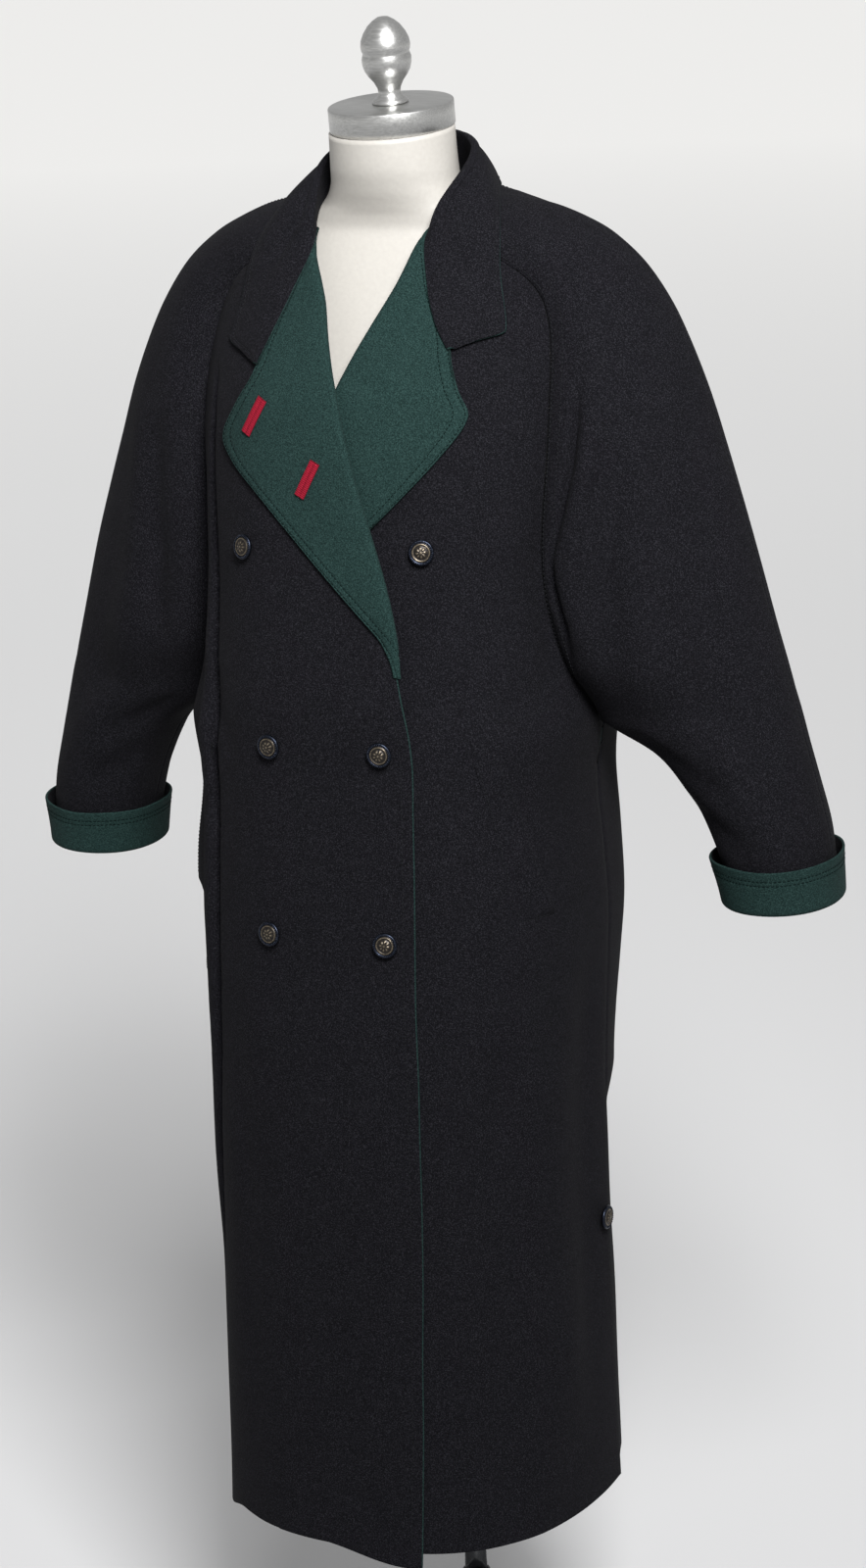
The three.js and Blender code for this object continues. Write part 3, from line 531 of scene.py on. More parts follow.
def shell(name, grid, normals, materials, thickness=CLOTH, ring=False, rounding=(1.0, 1.0, 1.0, 1.0), gap=SEAM_GAP / 2,
          edges=(2, 2, 2, 2)):
    """A closed sheet of cloth with rounded edges. rounding and edges are for the first row, the last
    column, the last row and the first column: how far the edge bulges, and its material."""
    rows, columns = grid.shape[:2]
    half = thickness / 2
    out = np.zeros_like(grid)
    bulge = np.zeros(grid.shape[:2])
    every = slice(None)
    sides = [((0, every), (1, every), rounding[0]), ((-1, every), (-2, every), rounding[2])]
    if not ring:
        sides += [((every, -1), (every, -2), rounding[1]), ((every, 0), (every, 1), rounding[3])]
    middle = grid.copy()
    for border, inside, round_by in sides:
        way = unit(grid[border] - grid[inside])
        middle[border] -= way * (gap + round_by)
        out[border] += way
        bulge[border] = np.maximum(bulge[border], round_by)
    out = unit(out)
    outer, inner = middle + normals * half, middle - normals * half
    positions = [outer.reshape(-1, 3), inner.reshape(-1, 3)]
    count = rows * columns
    ids = np.arange(count).reshape(rows, columns)
    right = np.roll(ids, -1, 1) if ring else ids[:, 1:]
    left = ids if ring else ids[:, :-1]
    quads = np.stack([left[:-1], right[:-1], right[1:], left[1:]], -1).reshape(-1, 4)
    faces = [quads, quads[:, ::-1] + count]
    slots = [np.zeros(len(quads), int), np.ones(len(quads), int)]
    if ring:
        loops = [(ids[0], np.full(columns, edges[0])), (ids[-1][::-1], np.full(columns, edges[2]))]
    else:
        around = [ids[0, :-1], ids[:-1, -1], ids[-1, :0:-1], ids[:0:-1, 0]]
        loops = [(np.concatenate(around), np.concatenate([np.full(len(a), e) for a, e in zip(around, edges)]))]
    flat_middle, flat_out = middle.reshape(-1, 3), out.reshape(-1, 3)
    flat_normal, flat_bulge = normals.reshape(-1, 3), bulge.reshape(-1)
    base = 2 * count
    for loop, edge_slots in loops:
        layers = [loop]
        for angle in (50, 0, -50):
            turn = math.radians(angle)
            shift = flat_out[loop] * (flat_bulge[loop] * math.cos(turn))[:, None]
            positions.append(flat_middle[loop] + shift + flat_normal[loop] * half * math.sin(turn))
            layers.append(base + np.arange(len(loop)))
            base += len(loop)
        layers.append(loop + count)
        for a, b in zip(layers[:-1], layers[1:]):
            strip = np.stack([a, b, np.roll(b, -1), np.roll(a, -1)], -1)
            faces.append(strip)
            slots.append(edge_slots)
    points = np.concatenate(positions)
    quads = np.concatenate(faces)
    first = quads[0]
    facing = np.cross(points[first[1]] - points[first[0]], points[first[3]] - points[first[0]])
    if facing @ normals[0, 0] < 0:
        quads = quads[:, ::-1]
    return make_mesh(name, points, quads, materials, np.concatenate(slots))


def make_mesh(name, points, faces, materials, slots=None, smooth=True):
    """An object from points in millimetres and faces of four or of three corners."""
    mesh = bpy.data.meshes.new(name)
    faces = np.asarray(faces)
    corners = faces.shape[1]
    mesh.vertices.add(len(points))
    mesh.vertices.foreach_set("co", (np.asarray(points) * MM).astype(np.float32).ravel())
    mesh.loops.add(faces.size)
    mesh.loops.foreach_set("vertex_index", faces.astype(np.int32).ravel())
    mesh.polygons.add(len(faces))
    mesh.polygons.foreach_set("loop_start", np.arange(0, faces.size, corners, dtype=np.int32))
    if slots is not None:
        mesh.polygons.foreach_set("material_index", slots.astype(np.int32))
    mesh.polygons.foreach_set("use_smooth", np.full(len(faces), smooth))
    for material in materials:
        mesh.materials.append(material)
    mesh.update(calc_edges=True)
    mesh.validate()
    piece = bpy.data.objects.new(name, mesh)
    bpy.context.scene.collection.objects.link(piece)
    return piece


# Materials
def feed(tree, node, inputs):
    """Sets a node's inputs: each to a value, or linked to another node's output."""
    for name, value in inputs.items():
        if isinstance(value, bpy.types.NodeSocket):
            tree.links.new(value, node.inputs[name])
        else:
            node.inputs[name].default_value = value


def add_node(tree, kind, output, inputs, **settings):
    node = tree.nodes.new("ShaderNode" + kind)
    for name, value in settings.items():
        setattr(node, name, value)
    feed(tree, node, inputs)
    return node.outputs[output]


def new_material(name):
    material = bpy.data.materials.new(name)
    material.use_nodes = True
    material.node_tree.nodes.new("ShaderNodeTexCoord").name = "where"
    return material, material.node_tree


def shade(tree, inputs):
    feed(tree, tree.nodes["Principled BSDF"], inputs)


def place_of(tree):
    return tree.nodes["where"].outputs["Object"]


def noise(tree, scale, detail=3.0, stretch=None):
    where = place_of(tree)
    if stretch:
        where = add_node(tree, "Mapping", "Vector", {"Scale": stretch, "Vector": where})
    return add_node(tree, "TexNoise", "Fac", {"Scale": scale, "Detail": detail, "Vector": where})


def ramp(tree, fac, *stops):
    node = tree.nodes.new("ShaderNodeValToRGB")
    elements = node.color_ramp.elements
    while len(elements) < len(stops):
        elements.new(0.5)
    for element, (place, color) in zip(elements, stops):
        element.position, element.color = place, (*color, 1)
    feed(tree, node, {"Fac": fac})
    return node.outputs["Color"]


def bump(tree, height, distance, strength=1.0, **under):
    return add_node(tree, "Bump", "Normal", {"Distance": distance, "Strength": strength, "Height": height, **under})


def times_plus(tree, value, factor, more):
    return add_node(tree, "Math", 0, {0: value, 1: factor, 2: more}, operation="MULTIPLY_ADD")


def darker(color, share):
    return tuple(c * share for c in color)


def wool(name, color, flecks):
    """Boiled wool: a matted nap of short crossing fibres, with lighter and darker ones showing."""
    material, tree = new_material(name)
    fibres, mottle, cloud = noise(tree, 1300, 4), noise(tree, 780, 3), noise(tree, 40, 2)
    mixed = times_plus(tree, mottle, 0.9, times_plus(tree, cloud, 0.05, fibres))
    spread = add_node(tree, "MapRange", "Result", {"Value": mixed, "From Min": 0.78, "From Max": 1.22})
    coarse = bump(tree, mottle, 0.0007, 0.55)
    shade(tree, {
        "Base Color": ramp(tree, spread, (0.1, darker(color, 0.5)), (0.52, color), (0.95, flecks)),
        "Roughness": 0.92,
        "Specular IOR Level": 0.05,
        "Sheen Weight": 0.014,
        "Sheen Roughness": 0.55,
        "Sheen Tint": (*[min(1, 0.35 + 8 * c) for c in color], 1),
        "Normal": bump(tree, fibres, 0.00035, 0.8, Normal=coarse),
    })
    return material


def thread(name, color):
    material, tree = new_material(name)
    shade(tree, {
        "Base Color": ramp(tree, noise(tree, 1600, 2), (0.35, darker(color, 0.6)), (0.65, color)),
        "Roughness": 0.95,
        "Specular IOR Level": 0.05,
        "Normal": bump(tree, noise(tree, 2600, 1), 0.0002, 0.6),
    })
    return material


def metal(name, dark, light, roughness, scale=400, stretch=None):
    material, tree = new_material(name)
    grain = noise(tree, scale, 4, stretch)
    limits = {"To Min": roughness * 0.8, "To Max": roughness * 1.25}
    shade(tree, {
        "Base Color": ramp(tree, grain, (0.3, dark), (0.7, light)),
        "Metallic": 1.0,
        "Roughness": add_node(tree, "MapRange", "Result", {"Value": grain, **limits}),
        "Normal": bump(tree, grain, 0.00008, 0.5),
    })
    return material


def plain(name, color, roughness, grain_scale, grain_height):
    material, tree = new_material(name)
    grain = noise(tree, grain_scale, 3)
    shade(tree, {
        "Base Color": ramp(tree, grain, (0.3, darker(color, 0.94)), (0.7, color)),
        "Roughness": roughness,
        "Normal": bump(tree, grain, grain_height, 0.5),
    })
    return material


def antique(name):
    """Button metal: bright where it stands out and dark in its hollows, by the mesh's own relief."""
    material, tree = new_material(name)
    relief = add_node(tree, "Attribute", "Fac", {}, attribute_name="relief")
    stops = (0.3, (0.008, 0.009, 0.014)), (0.7, (0.05, 0.042, 0.032)), (1.0, (0.3, 0.25, 0.18))
    shade(tree, {
        "Base Color": ramp(tree, times_plus(tree, noise(tree, 900, 3), 0.5, relief), *stops),
        "Metallic": 0.9,
        "Roughness": 0.38,
    })
    return material


BLACK = (0.0043, 0.0042, 0.0056)
GREEN = (0.0092, 0.0222, 0.0206)
black_wool = wool("wool", BLACK, (0.0145, 0.0142, 0.0175))
green_wool = wool("wool_green", GREEN, (0.0175, 0.0365, 0.0335))
black_thread = thread("thread_black", (0.012, 0.0125, 0.0142))
green_thread = thread("thread_green", (0.0022, 0.0066, 0.0062))
crimson = thread("binding", (0.2, 0.0085, 0.02))
button_metal = antique("button")
button_rim = metal("button_rim", (0.008, 0.01, 0.016), (0.03, 0.035, 0.05), 0.35, 700)
aluminium = metal("cap", (0.42, 0.42, 0.41), (0.58, 0.58, 0.57), 0.32, 60, (1, 14, 14))
chrome = metal("pole", (0.6, 0.61, 0.63), (0.72, 0.73, 0.75), 0.09, 90)
form_white = plain("form", (0.34, 0.325, 0.3), 0.55, 240, 0.0002)
base_black = plain("base", (0.02, 0.021, 0.023), 0.4, 500, 0.0001)

# The materials of a piece's outer face, its inner face and the edges that show green
CLOTH_MATERIALS = [black_wool, green_wool, green_wool]
TURNED_MATERIALS = [green_wool, black_wool, green_wool]


def dress(piece, *nodes, slot="wool"):
    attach(piece, "root")
    if nodes:
        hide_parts(*nodes)
    return piece


# Body and sleeves
grids = {"back": back_grid()}
normals = {"back": outward(grids["back"], (0, 1, 0))}
for side_name, side in SIDES:
    grids[f"front_{side_name}"] = front_grid(side)
    normals[f"front_{side_name}"] = outward(grids[f"front_{side_name}"], (0, -1, 0))
    for half, way in (("front", -1), ("back", 1)):
        key = f"sleeve_{side_name}_{half}"
        grids[key] = sleeve_grid(half, side)
        normals[key] = outward(grids[key], (0, way, 0))

SEAM_FADE = 16  # creases and swells die out this far from a seam
FRONT_MARK = 120  # a front's creases lie at its own x up to here and then as far round its side
for seed, (key, grid) in enumerate(grids.items()):
    span = across_of(grid)
    across, fade, lap = span, smoothstep(span[:, -1:] - span, 0, SEAM_FADE), 1
    if key.startswith("front"):
        own = grid[..., 0] * (1 if key.endswith("left") else -1)
        mark = np.abs(own - FRONT_MARK).argmin(1)
        across = across_of(grid, mark) + own[np.arange(len(grid)), mark][:, None]
        lap = np.where(grid[..., 2] < 1110, smoothstep(across, 84, 104), smoothstep(across, 118, 132))
    else:
        fade = fade * smoothstep(span, 0, SEAM_FADE)
    if key == "back":
        across = across_of(grid, grid.shape[1] // 2)
    if key.startswith("sleeve"):
        fade = fade * smoothstep(grid[..., 2], 890, 930)
    moved = crease_depth(key, across, grid[..., 2]) + swell(across, grid[..., 2], seed, 0.5)
    grids[key] = grid + normals[key] * (moved * fade * lap)[..., None]
    normals[key] = outward(grids[key], (0, 1 if key.endswith("back") else -1, 0))


def mitre(*edges):
    """Gives the edges of pieces that meet at a seam the same normals."""
    mean = unit(sum(normals[key][index] for key, index in edges))
    for key, index in edges:
        normals[key][index] = mean


waist = WAIST_ROW * STEPS_BODY
corner = CORNER_ROW * STEPS_RAGLAN
for side_name, back_column in (("left", -1), ("right", 0)):
    front, half_front, half_back = f"front_{side_name}", f"sleeve_{side_name}_front", f"sleeve_{side_name}_back"
    low, raglan, top = slice(0, waist), slice(waist + 1, None), slice(0, corner)
    mitre((front, (low, -1)), ("back", (low, back_column)))
    reverse = slice(None, waist, -1)
    mitre((front, (reverse, -1)), (half_front, (top, 0)))
    mitre(("back", (reverse, back_column)), (half_back, (top, 0)))
    mitre((half_front, (slice(corner + 1, None), 0)), (half_back, (slice(corner + 1, None), 0)))
    mitre((half_front, (slice(None), -1)), (half_back, (slice(None), -1)))
    mitre((front, (waist, -1)), ("back", (waist, back_column)), (half_front, (corner, 0)), (half_back, (corner, 0)))

SEAM_ROUND = 0.45
EDGE_ROUND = 1.1


def add_cloth(key, grid, facing, materials=CLOTH_MATERIALS, slot="wool", **how):
    """Makes a piece's cloth, and keeps its grid and normals."""
    grids[key], normals[key] = grid, facing
    dress(shell(key + "_cloth", grid, facing, materials, **how), key, slot=slot)


def add_turned(key, grid, facing, **how):
    add_cloth(key, grid, facing, TURNED_MATERIALS, "wool_green", **how)


for key, grid in list(grids.items()):
    free = EDGE_ROUND if key.startswith("front") else SEAM_ROUND
    seams = (SEAM_ROUND if key.startswith("sleeve") else EDGE_ROUND, SEAM_ROUND, SEAM_ROUND, free)
    edges = (0, 0, 0, 1 if key.startswith("front") else 0)
    add_cloth(key, grid, normals[key], rounding=seams, edges=edges)


# Lapels, cuffs and collar
LAPEL_FOOT = (1118, 1170)  # the roll grows from a flat edge to its full radius between these heights


def lapel_lift(side, x, z):
    rows = LAPEL[side]
    roll = roll_x(side, row_at(FRONT, "z", z))
    edge = row_at({name: rows[name] for name in ("edgeZ", "edgeX")}, "edgeZ", z)["edgeX"]
    t = np.clip((x - roll) / np.maximum(edge - roll, 8), 0, 1)
    full = lerp(2 * ROLL_RADIUS, LAP_LIFT + 2 * SEAM_GAP, smoothstep(t, 0, 0.8))
    return full * lerp(0.3, 1, smoothstep(z, *LAPEL_FOOT))


def lapel_grid(side, rows=150, turns=14, columns=64):
    roll_z = np.linspace(1118, 1491 if side > 0 else 1484, rows + 1)
    row = row_at(LAPEL[side], "rollZ", roll_z)
    heights = row_at(FRONT, "z", roll_z)
    edge_points = front_by_angle(side, heights, section_angle(heights, roll_x(side, heights)))
    roll = np.stack([side * edge_points[:, 0], roll_z], -1)
    edge = np.stack([row["edgeX"], row["edgeZ"]], -1)
    length = np.linalg.norm(edge - roll, axis=1)
    way = unit(edge - roll)
    radius = np.minimum(ROLL_RADIUS, length / 2)
    grown = smoothstep(roll_z, *LAPEL_FOOT)
    rise = ROLL_RADIUS * lerp(0.3, 1, grown)
    lines = []
    for u in np.linspace(0, 1, turns + 1):
        at = roll - way * (radius * math.sin(math.pi * u))[:, None]
        at[:, 0] -= ROLL_CLEARANCE * grown
        lines.append(front_surface(side, at[:, 0], at[:, 1], rise * (1 - math.cos(math.pi * u)))[0])
    for u in np.linspace(0, 1, columns + 1)[1:] ** 0.85:
        at = lerp(roll, edge, u)
        lines.append(front_surface(side, at[:, 0], at[:, 1], lapel_lift(side, at[:, 0], at[:, 1]))[0])
    return np.stack(lines, 1)


def stitch_dent(grid, facing, rows_in, depth=0.8, width=1.1):
    """Presses the cloth in along rows of topstitching, each so far in from the edge."""
    reach = across_of(grid)
    inset = reach[:, -1:] - reach
    dent = sum(-depth * np.exp(-(((inset - d) / width) ** 2)) for d in rows_in)
    return grid + facing * dent[..., None]


LAPEL_ROWS = (3.2, 14)
for side_name, side in SIDES:
    key = f"lapel_{side_name}"
    grid = lapel_grid(side)
    facing = outward(grid, (0, -1, 0), np.s_[:, 20:])
    add_turned(key, stitch_dent(grid, facing, LAPEL_ROWS), facing, rounding=(0.4, 1.1, 0.4, 0.4))


def cuff_grid(side, front, back):
    end, above = (np.concatenate([front[r], back[r][-2:0:-1]]) for r in (-1, -1 - STEPS_UNDER))
    middle = end.mean(0)
    rise = unit(above - end)
    away = end - middle
    away = unit(away - (away * rise).sum(-1, keepdims=True) * rise)
    turns = [math.pi * u for u in np.linspace(0, 1, 11)]
    profile = [(CUFF_RADIUS * (1 - math.cos(a)), -CUFF_RADIUS * math.sin(a)) for a in turns]
    profile += [(2 * CUFF_RADIUS + CUFF_FLARE * u * u, CUFF_DEPTH * u) for u in np.linspace(0, 1, 31)[1:]]
    around = np.arange(len(end)) / len(end) * 2 * math.pi
    rows = []
    for out, up in profile:
        uneven = (0.9 * np.sin(3 * around + side) + 0.6 * np.sin(5 * around)) * smoothstep(up, 4, CUFF_DEPTH)
        height = up * (1 + 0.025 * np.sin(2 * around + 1))
        rows.append(end + away * (out + uneven)[:, None] + rise * height[:, None])
    return np.stack(rows)


for side_name, side in SIDES:
    key = f"cuff_{side_name}"
    grid = cuff_grid(side, grids[f"sleeve_{side_name}_front"], grids[f"sleeve_{side_name}_back"])
    facing = outward(grid, grid[-1] - grid[-1].mean(0), -1, ring=True)
    flat_grid, flat_facing = np.swapaxes(grid, 0, 1), np.swapaxes(facing, 0, 1)
    pressed = np.swapaxes(stitch_dent(flat_grid, flat_facing, CUFF_ROWS, 0.4), 0, 1)
    add_turned(key, pressed, facing, ring=True, rounding=(0.3, 0, 1.1, 0))

COLLAR_TURNS = 4
COLLAR_ROW = 7  # the stitched row's distance from the collar's edge


def collar_rows(side):
    found = []
    for i in range(len(COLLAR["i"])):
        seam, fold, edge = (np.array([COLLAR[f"{n}{a}"][i] for a in "XYZ"]) for n in ("seam", "fold", "edge"))
        if side > 0 and i > 4:
            seam[0] -= i - 4
            fold[0] -= i - 4
        over = unit(edge - seam)
        up = fold - seam
        up = unit(up - (up @ over) * over)
        middle = fold - up * ROLL_RADIUS
        turn = [
            middle - over * ROLL_RADIUS * math.cos(math.pi * u) + up * ROLL_RADIUS * math.sin(math.pi * u)
            for u in np.linspace(0, 1, COLLAR_TURNS + 1)
        ]
        fall = [lerp(turn[-1], edge, u) + up * COLLAR["bow"][i] * math.sin(math.pi * u) for u in (0.3, 0.65, 1)]
        found.append(np.array([seam, *turn, *fall]) * np.array([side, 1, 1]))
    gorge = GORGE[side]
    for i in range(len(gorge["seamX"])):
        u = np.linspace(0, 1, COLLAR_TURNS + 5)
        x = lerp(gorge["seamX"][i], gorge["edgeX"][i], u)
        z = lerp(gorge["seamZ"][i], gorge["edgeZ"][i], u)
        start = lapel_lift(side, x[:1], z[:1])[0] + CLOTH + SEAM_GAP
        lift = lerp(start, LAP_LIFT + 1, smoothstep(u, 0, 0.9)) + 1.5 * np.sin(math.pi * u)
        found.append(front_surface(side, x, z, lift)[0])
    return found


def soften(grid, first, last, times=60):
    """Evens a grid out along its columns between two rows, which stay in their places."""
    weight = np.zeros(len(grid))
    weight[first:last + 1] = np.sin(np.linspace(0, math.pi, last - first + 1)) ** 0.5
    for _ in range(times):
        grid[1:-1] += 0.5 * weight[1:-1, None, None] * (0.5 * (grid[:-2] + grid[2:]) - grid[1:-1])
    return grid


def refine(grid, rows, columns):
    """A finer grid on smooth curves through a grid's points."""
    for axis, steps in ((0, rows), (1, columns)):
        a = np.moveaxis(grid, axis, 0)
        count = len(a)
        before = np.concatenate([2 * a[:1] - a[1:2], a, 2 * a[-1:] - a[-2:-1]])
        place = np.linspace(0, count - 1, (count - 1) * steps + 1)
        i = np.minimum(place.astype(int), count - 2)
        t = (place - i)[:, None, None]
        p0, p1, p2, p3 = before[i], before[i + 1], before[i + 2], before[i + 3]
        a = 0.5 * (2 * p1 + (p2 - p0) * t + (2 * p0 - 5 * p1 + 4 * p2 - p3) * t**2 + (3 * p1 - p0 - 3 * p2 + p3) * t**3)
        grid = np.moveaxis(a, 0, axis)
    return grid


left, right = collar_rows(1), collar_rows(-1)
collar = refine(np.array(right[:0:-1] + left), 7, 7)
for first in (2 * 7, len(collar) - 1 - 9 * 7):
    collar = soften(collar, first, first + 7 * 7)
facing = outward(collar, (0, 1, 0.3), (len(collar) // 2, -3))
add_cloth("collar", stitch_dent(collar, facing, (COLLAR_ROW,)), facing, rounding=(1.1, 1.1, 1.1, SEAM_ROUND))


# Stitches
def reach_of(points):
    """How far along a line each of its points lies."""
    return np.concatenate([[0], np.cumsum(np.linalg.norm(np.diff(points, axis=0), axis=1))])


def inset_line(key, side, distance, low=0.0, high=1.0, lift=CLOTH / 2):
    """A line on a piece, running beside one of its edges at a distance from it."""
    grid, facing = grids[key], normals[key]
    if side in ("first_row", "last_row"):
        grid, facing = np.swapaxes(grid, 0, 1), np.swapaxes(facing, 0, 1)
    if side in ("last_row", "last_column"):
        grid, facing = grid[:, ::-1], facing[:, ::-1]
    reach = across_of(grid)
    first, last = int(low * (len(grid) - 1)), int(high * (len(grid) - 1))
    points, ups = [], []
    for r in range(first, last + 1):
        c = min(max(int(np.searchsorted(reach[r], distance)) - 1, 0), grid.shape[1] - 2)
        t = (distance - reach[r, c]) / max(reach[r, c + 1] - reach[r, c], 1e-6)
        if t > 1.5:
            continue
        up = lerp(facing[r, c], facing[r, c + 1], t)
        points.append(lerp(grid[r, c], grid[r, c + 1], t) + up * lift)
        ups.append(up)
    return np.array(points), np.array(ups)


def surface_line(side, points, out=CLOTH / 2):
    """A line on a front, straight between points given as own x and height."""
    points = np.array(points, float)
    reach = reach_of(points)
    at = np.arange(0, reach[-1], 2.0)
    x, z = np.interp(at, reach, points[:, 0]), np.interp(at, reach, points[:, 1])
    return front_surface(side, x, z, np.full(len(at), out))


STITCH = {"pitch": 4.0, "length": 3.2, "radius": 0.42}


def stitches(lines):
    """Short rounded stitches along lines, as points and faces of three corners."""
    half, radius = STITCH["length"] / 2, STITCH["radius"]
    k = np.arange(6)
    j = (k + 1) % 6
    corners = ((0 * k, 1 + j, 1 + k), (1 + k, 1 + j, 7 + j), (1 + k, 7 + j, 7 + k), (0 * k + 13, 7 + k, 7 + j))
    faces = np.concatenate([np.stack(three, -1) for three in corners])
    cos, sin = (f(2 * math.pi * k / 6)[None, :, None] for f in (np.cos, np.sin))
    found = []
    for line, ups in lines:
        reach = reach_of(line)
        at = np.arange(1.5, reach[-1] - 1.5, STITCH["pitch"])
        middle, ahead, up = (
            np.stack([np.interp(where, reach, of[:, axis]) for axis in range(3)], -1)
            for where, of in ((at, line), (at + 0.8, line), (at, ups))
        )
        up, along = unit(up)[:, None], unit(ahead - middle + 1e-9)[:, None]
        ring = radius * (unit(np.cross(along, up)) * cos + up * sin)
        centre = middle[:, None] + up * radius * 0.35
        tip = up * radius * 0.6
        ends = [centre + along * half * way - tip for way in (-1, 1)]
        rings = [centre + along * half * place + ring for place in (-0.55, 0.55)]
        found.append(np.concatenate([ends[0], *rings, ends[1]], 1))
    points = np.concatenate(found)
    return points.reshape(-1, 3), (faces + points.shape[1] * np.arange(len(points))[:, None, None]).reshape(-1, 3)


def add_stitches(name, lines, material, slot):
    points, faces = stitches(lines)
    return dress(make_mesh(name, points, faces, [material]), slot=slot)


black_lines, green_lines = [], []
for side_name, side in SIDES:
    for distance in LAPEL_ROWS:
        green_lines.append(inset_line(f"lapel_{side_name}", "last_column", distance, 0.06, 0.97))
    for distance in CUFF_ROWS:
        line, ups = inset_line(f"cuff_{side_name}", "last_row", distance)
        green_lines.append((np.concatenate([line, line[:1]]), np.concatenate([ups, ups[:1]])))
    for half in ("front", "back"):
        key = f"sleeve_{side_name}_{half}"
        raglan_share = corner / (len(grids[key]) - 1)
        for distance in (4, 15):
            black_lines.append(inset_line(key, "first_column", distance, 0.02, raglan_share * 0.98))
    black_lines.append(inset_line(f"sleeve_{side_name}_back", "last_column", 2.5, 0.0, 0.97))
    black_lines.append(surface_line(side, [(139, 820), (150, 814), (163, 812), (176, 818)]))
    black_lines.append(surface_line(side, [(143, 1072), (160, 1073), (177, 1075)]))
for line in (
    ("collar", "last_column", COLLAR_ROW, 0.02, 0.98),
    ("collar", "first_row", COLLAR_ROW, 0.55, 0.97),
    ("collar", "last_row", COLLAR_ROW, 0.55, 0.97),
    ("front_right", "first_column", 11, 0.01, 0.58), ("front_left", "first_column", 11, 0.01, 0.58),
):
    black_lines.append(inset_line(*line))
add_stitches("stitches_black", black_lines, black_thread, "wool")
add_stitches("stitches_green", green_lines, green_thread, "wool_green")

# Pocket welts
WELT = {"topX": 149, "topZ": 1042, "footX": 178, "footZ": 887, "width": 20, "thickness": 1.6}
for side_name, side in SIDES:
    v, u = np.meshgrid(np.linspace(0, 1, 61), np.linspace(0, 1, 13), indexing="ij")
    x = lerp(WELT["topX"], WELT["footX"], v) - WELT["width"] * (1 - u)
    z = lerp(WELT["topZ"], WELT["footZ"], v) - 0.15 * WELT["width"] * (1 - u)
    held = smoothstep(u, 0.1, 0.9) * smoothstep(v, 0, 0.12) * smoothstep(1 - v, 0, 0.05)
    held = held * lerp(0.35, 1, smoothstep(v, 0.2, 0.85))
    grid, _ = front_surface(side, x, z, lerp(0.2, CLOTH / 2 + WELT["thickness"] / 2 + 3.2, held))
    key = f"pocket_welt_{side_name}"
    add_cloth(key, grid, outward(grid, (0, -1, 0)), [black_wool] * 3, thickness=WELT["thickness"], rounding=(0.8,) * 4)
welt_lines = []
for side_name in ("left", "right"):
    key = f"pocket_welt_{side_name}"
    for edge, distance in (("first_column", 3), ("first_row", 3), ("last_row", 3), ("last_column", 5)):
        welt_lines.append(inset_line(key, edge, distance, 0.05, 0.95, WELT["thickness"] / 2))
add_stitches("stitches_welts", welt_lines, black_thread, "wool")

# Vents: below its top each side seam is open, and the back runs on under the front
for side_name, side in SIDES:
    heights = np.linspace(HEM_Z + 1, VENT_TOP_Z, 90)
    row = across_rows(FRONT, heights)
    run = np.linspace(0.02, 1, 12)[None, :]
    angle = np.radians(90) - run * VENT_LAP / 150
    x, y = section_point(row, -1, angle)
    inward = lerp(vent_pull(row["seamX"], row["seamY"], row["z"]), CLOTH + 1.6, smoothstep(run, 0, 0.8))
    grid = points_of(side * (x - inward * np.sin(angle)), y + inward * np.cos(angle), row["z"])
    key = f"vent_{side_name}"
    facing = outward(grid, (side, 0, 0))
    dress(shell(key, grid, facing, CLOTH_MATERIALS, rounding=(0.9, 1.1, 0.9, 0.2), edges=(0,) * 4))

# Buttonholes: two bound lips with a slit between them, over a ridged border
BUTTONHOLES = [("buttonhole_upper", 75, 1338, 27), ("buttonhole_lower", 16, 1288, 27)]
HOLE_LENGTH, HOLE_WIDTH, HOLE_HEIGHT = 34, 10.5, 1.2
for name, hole_x, hole_z, slant in BUTTONHOLES:
    turn = math.radians(slant)
    v, u = np.meshgrid(np.linspace(-0.5, 0.5, 121), np.linspace(-0.5, 0.5, 29), indexing="ij")
    along, across = v * HOLE_LENGTH, u * HOLE_WIDTH
    x = hole_x + along * math.sin(turn) + across * math.cos(turn)
    z = hole_z - along * math.cos(turn) + across * math.sin(turn)
    lift = lapel_lift(-1, x, z) + CLOTH / 2 + 2 * SEAM_GAP + HOLE_HEIGHT / 2
    grid, facing = front_surface(-1, x, z, lift)
    lips = 0.7 * np.cos(math.pi * np.clip((np.abs(across) - 2.4) / 4.8, -0.5, 0.5)) ** 2
    slit = -1.0 * np.exp(-((across / 0.45) ** 2)) * smoothstep(0.42 - np.abs(v), 0, 0.03)
    ridges = 0.22 * np.sin(2 * math.pi * along / 1.7)
    grid = grid + facing * (lips + slit + ridges)[..., None]
    piece = shell(name + "_binding", grid, outward(grid, (0, -1, 0)), [crimson] * 3, HOLE_HEIGHT, rounding=(0.6,) * 4)
    dress(piece, name, slot="binding")

# Buttons
RINGS = [
    (0, -1.5), (2.9, -1.5), (2.9, 0), (8.3, 0), (9.8, 0.5), (11.1, 1.2), (11.5, 2.1), (11.4, 3), (11, 3.7),
    (10.3, 4.05), (9.6, 3.9), (9.1, 3.4), (8.7, 3.35), (8.3, 3.9), (7.8, 4.35), (7.2, 4.4), (6.6, 4), (6.2, 3.9),
    (5.6, 4.2), (4.8, 4.5), (4, 4.8), (3.2, 5.05), (2.4, 5.2), (1.6, 5.3), (0.8, 5.4), (0, 5.45),
]
PETALS, BEADS = 8, 34


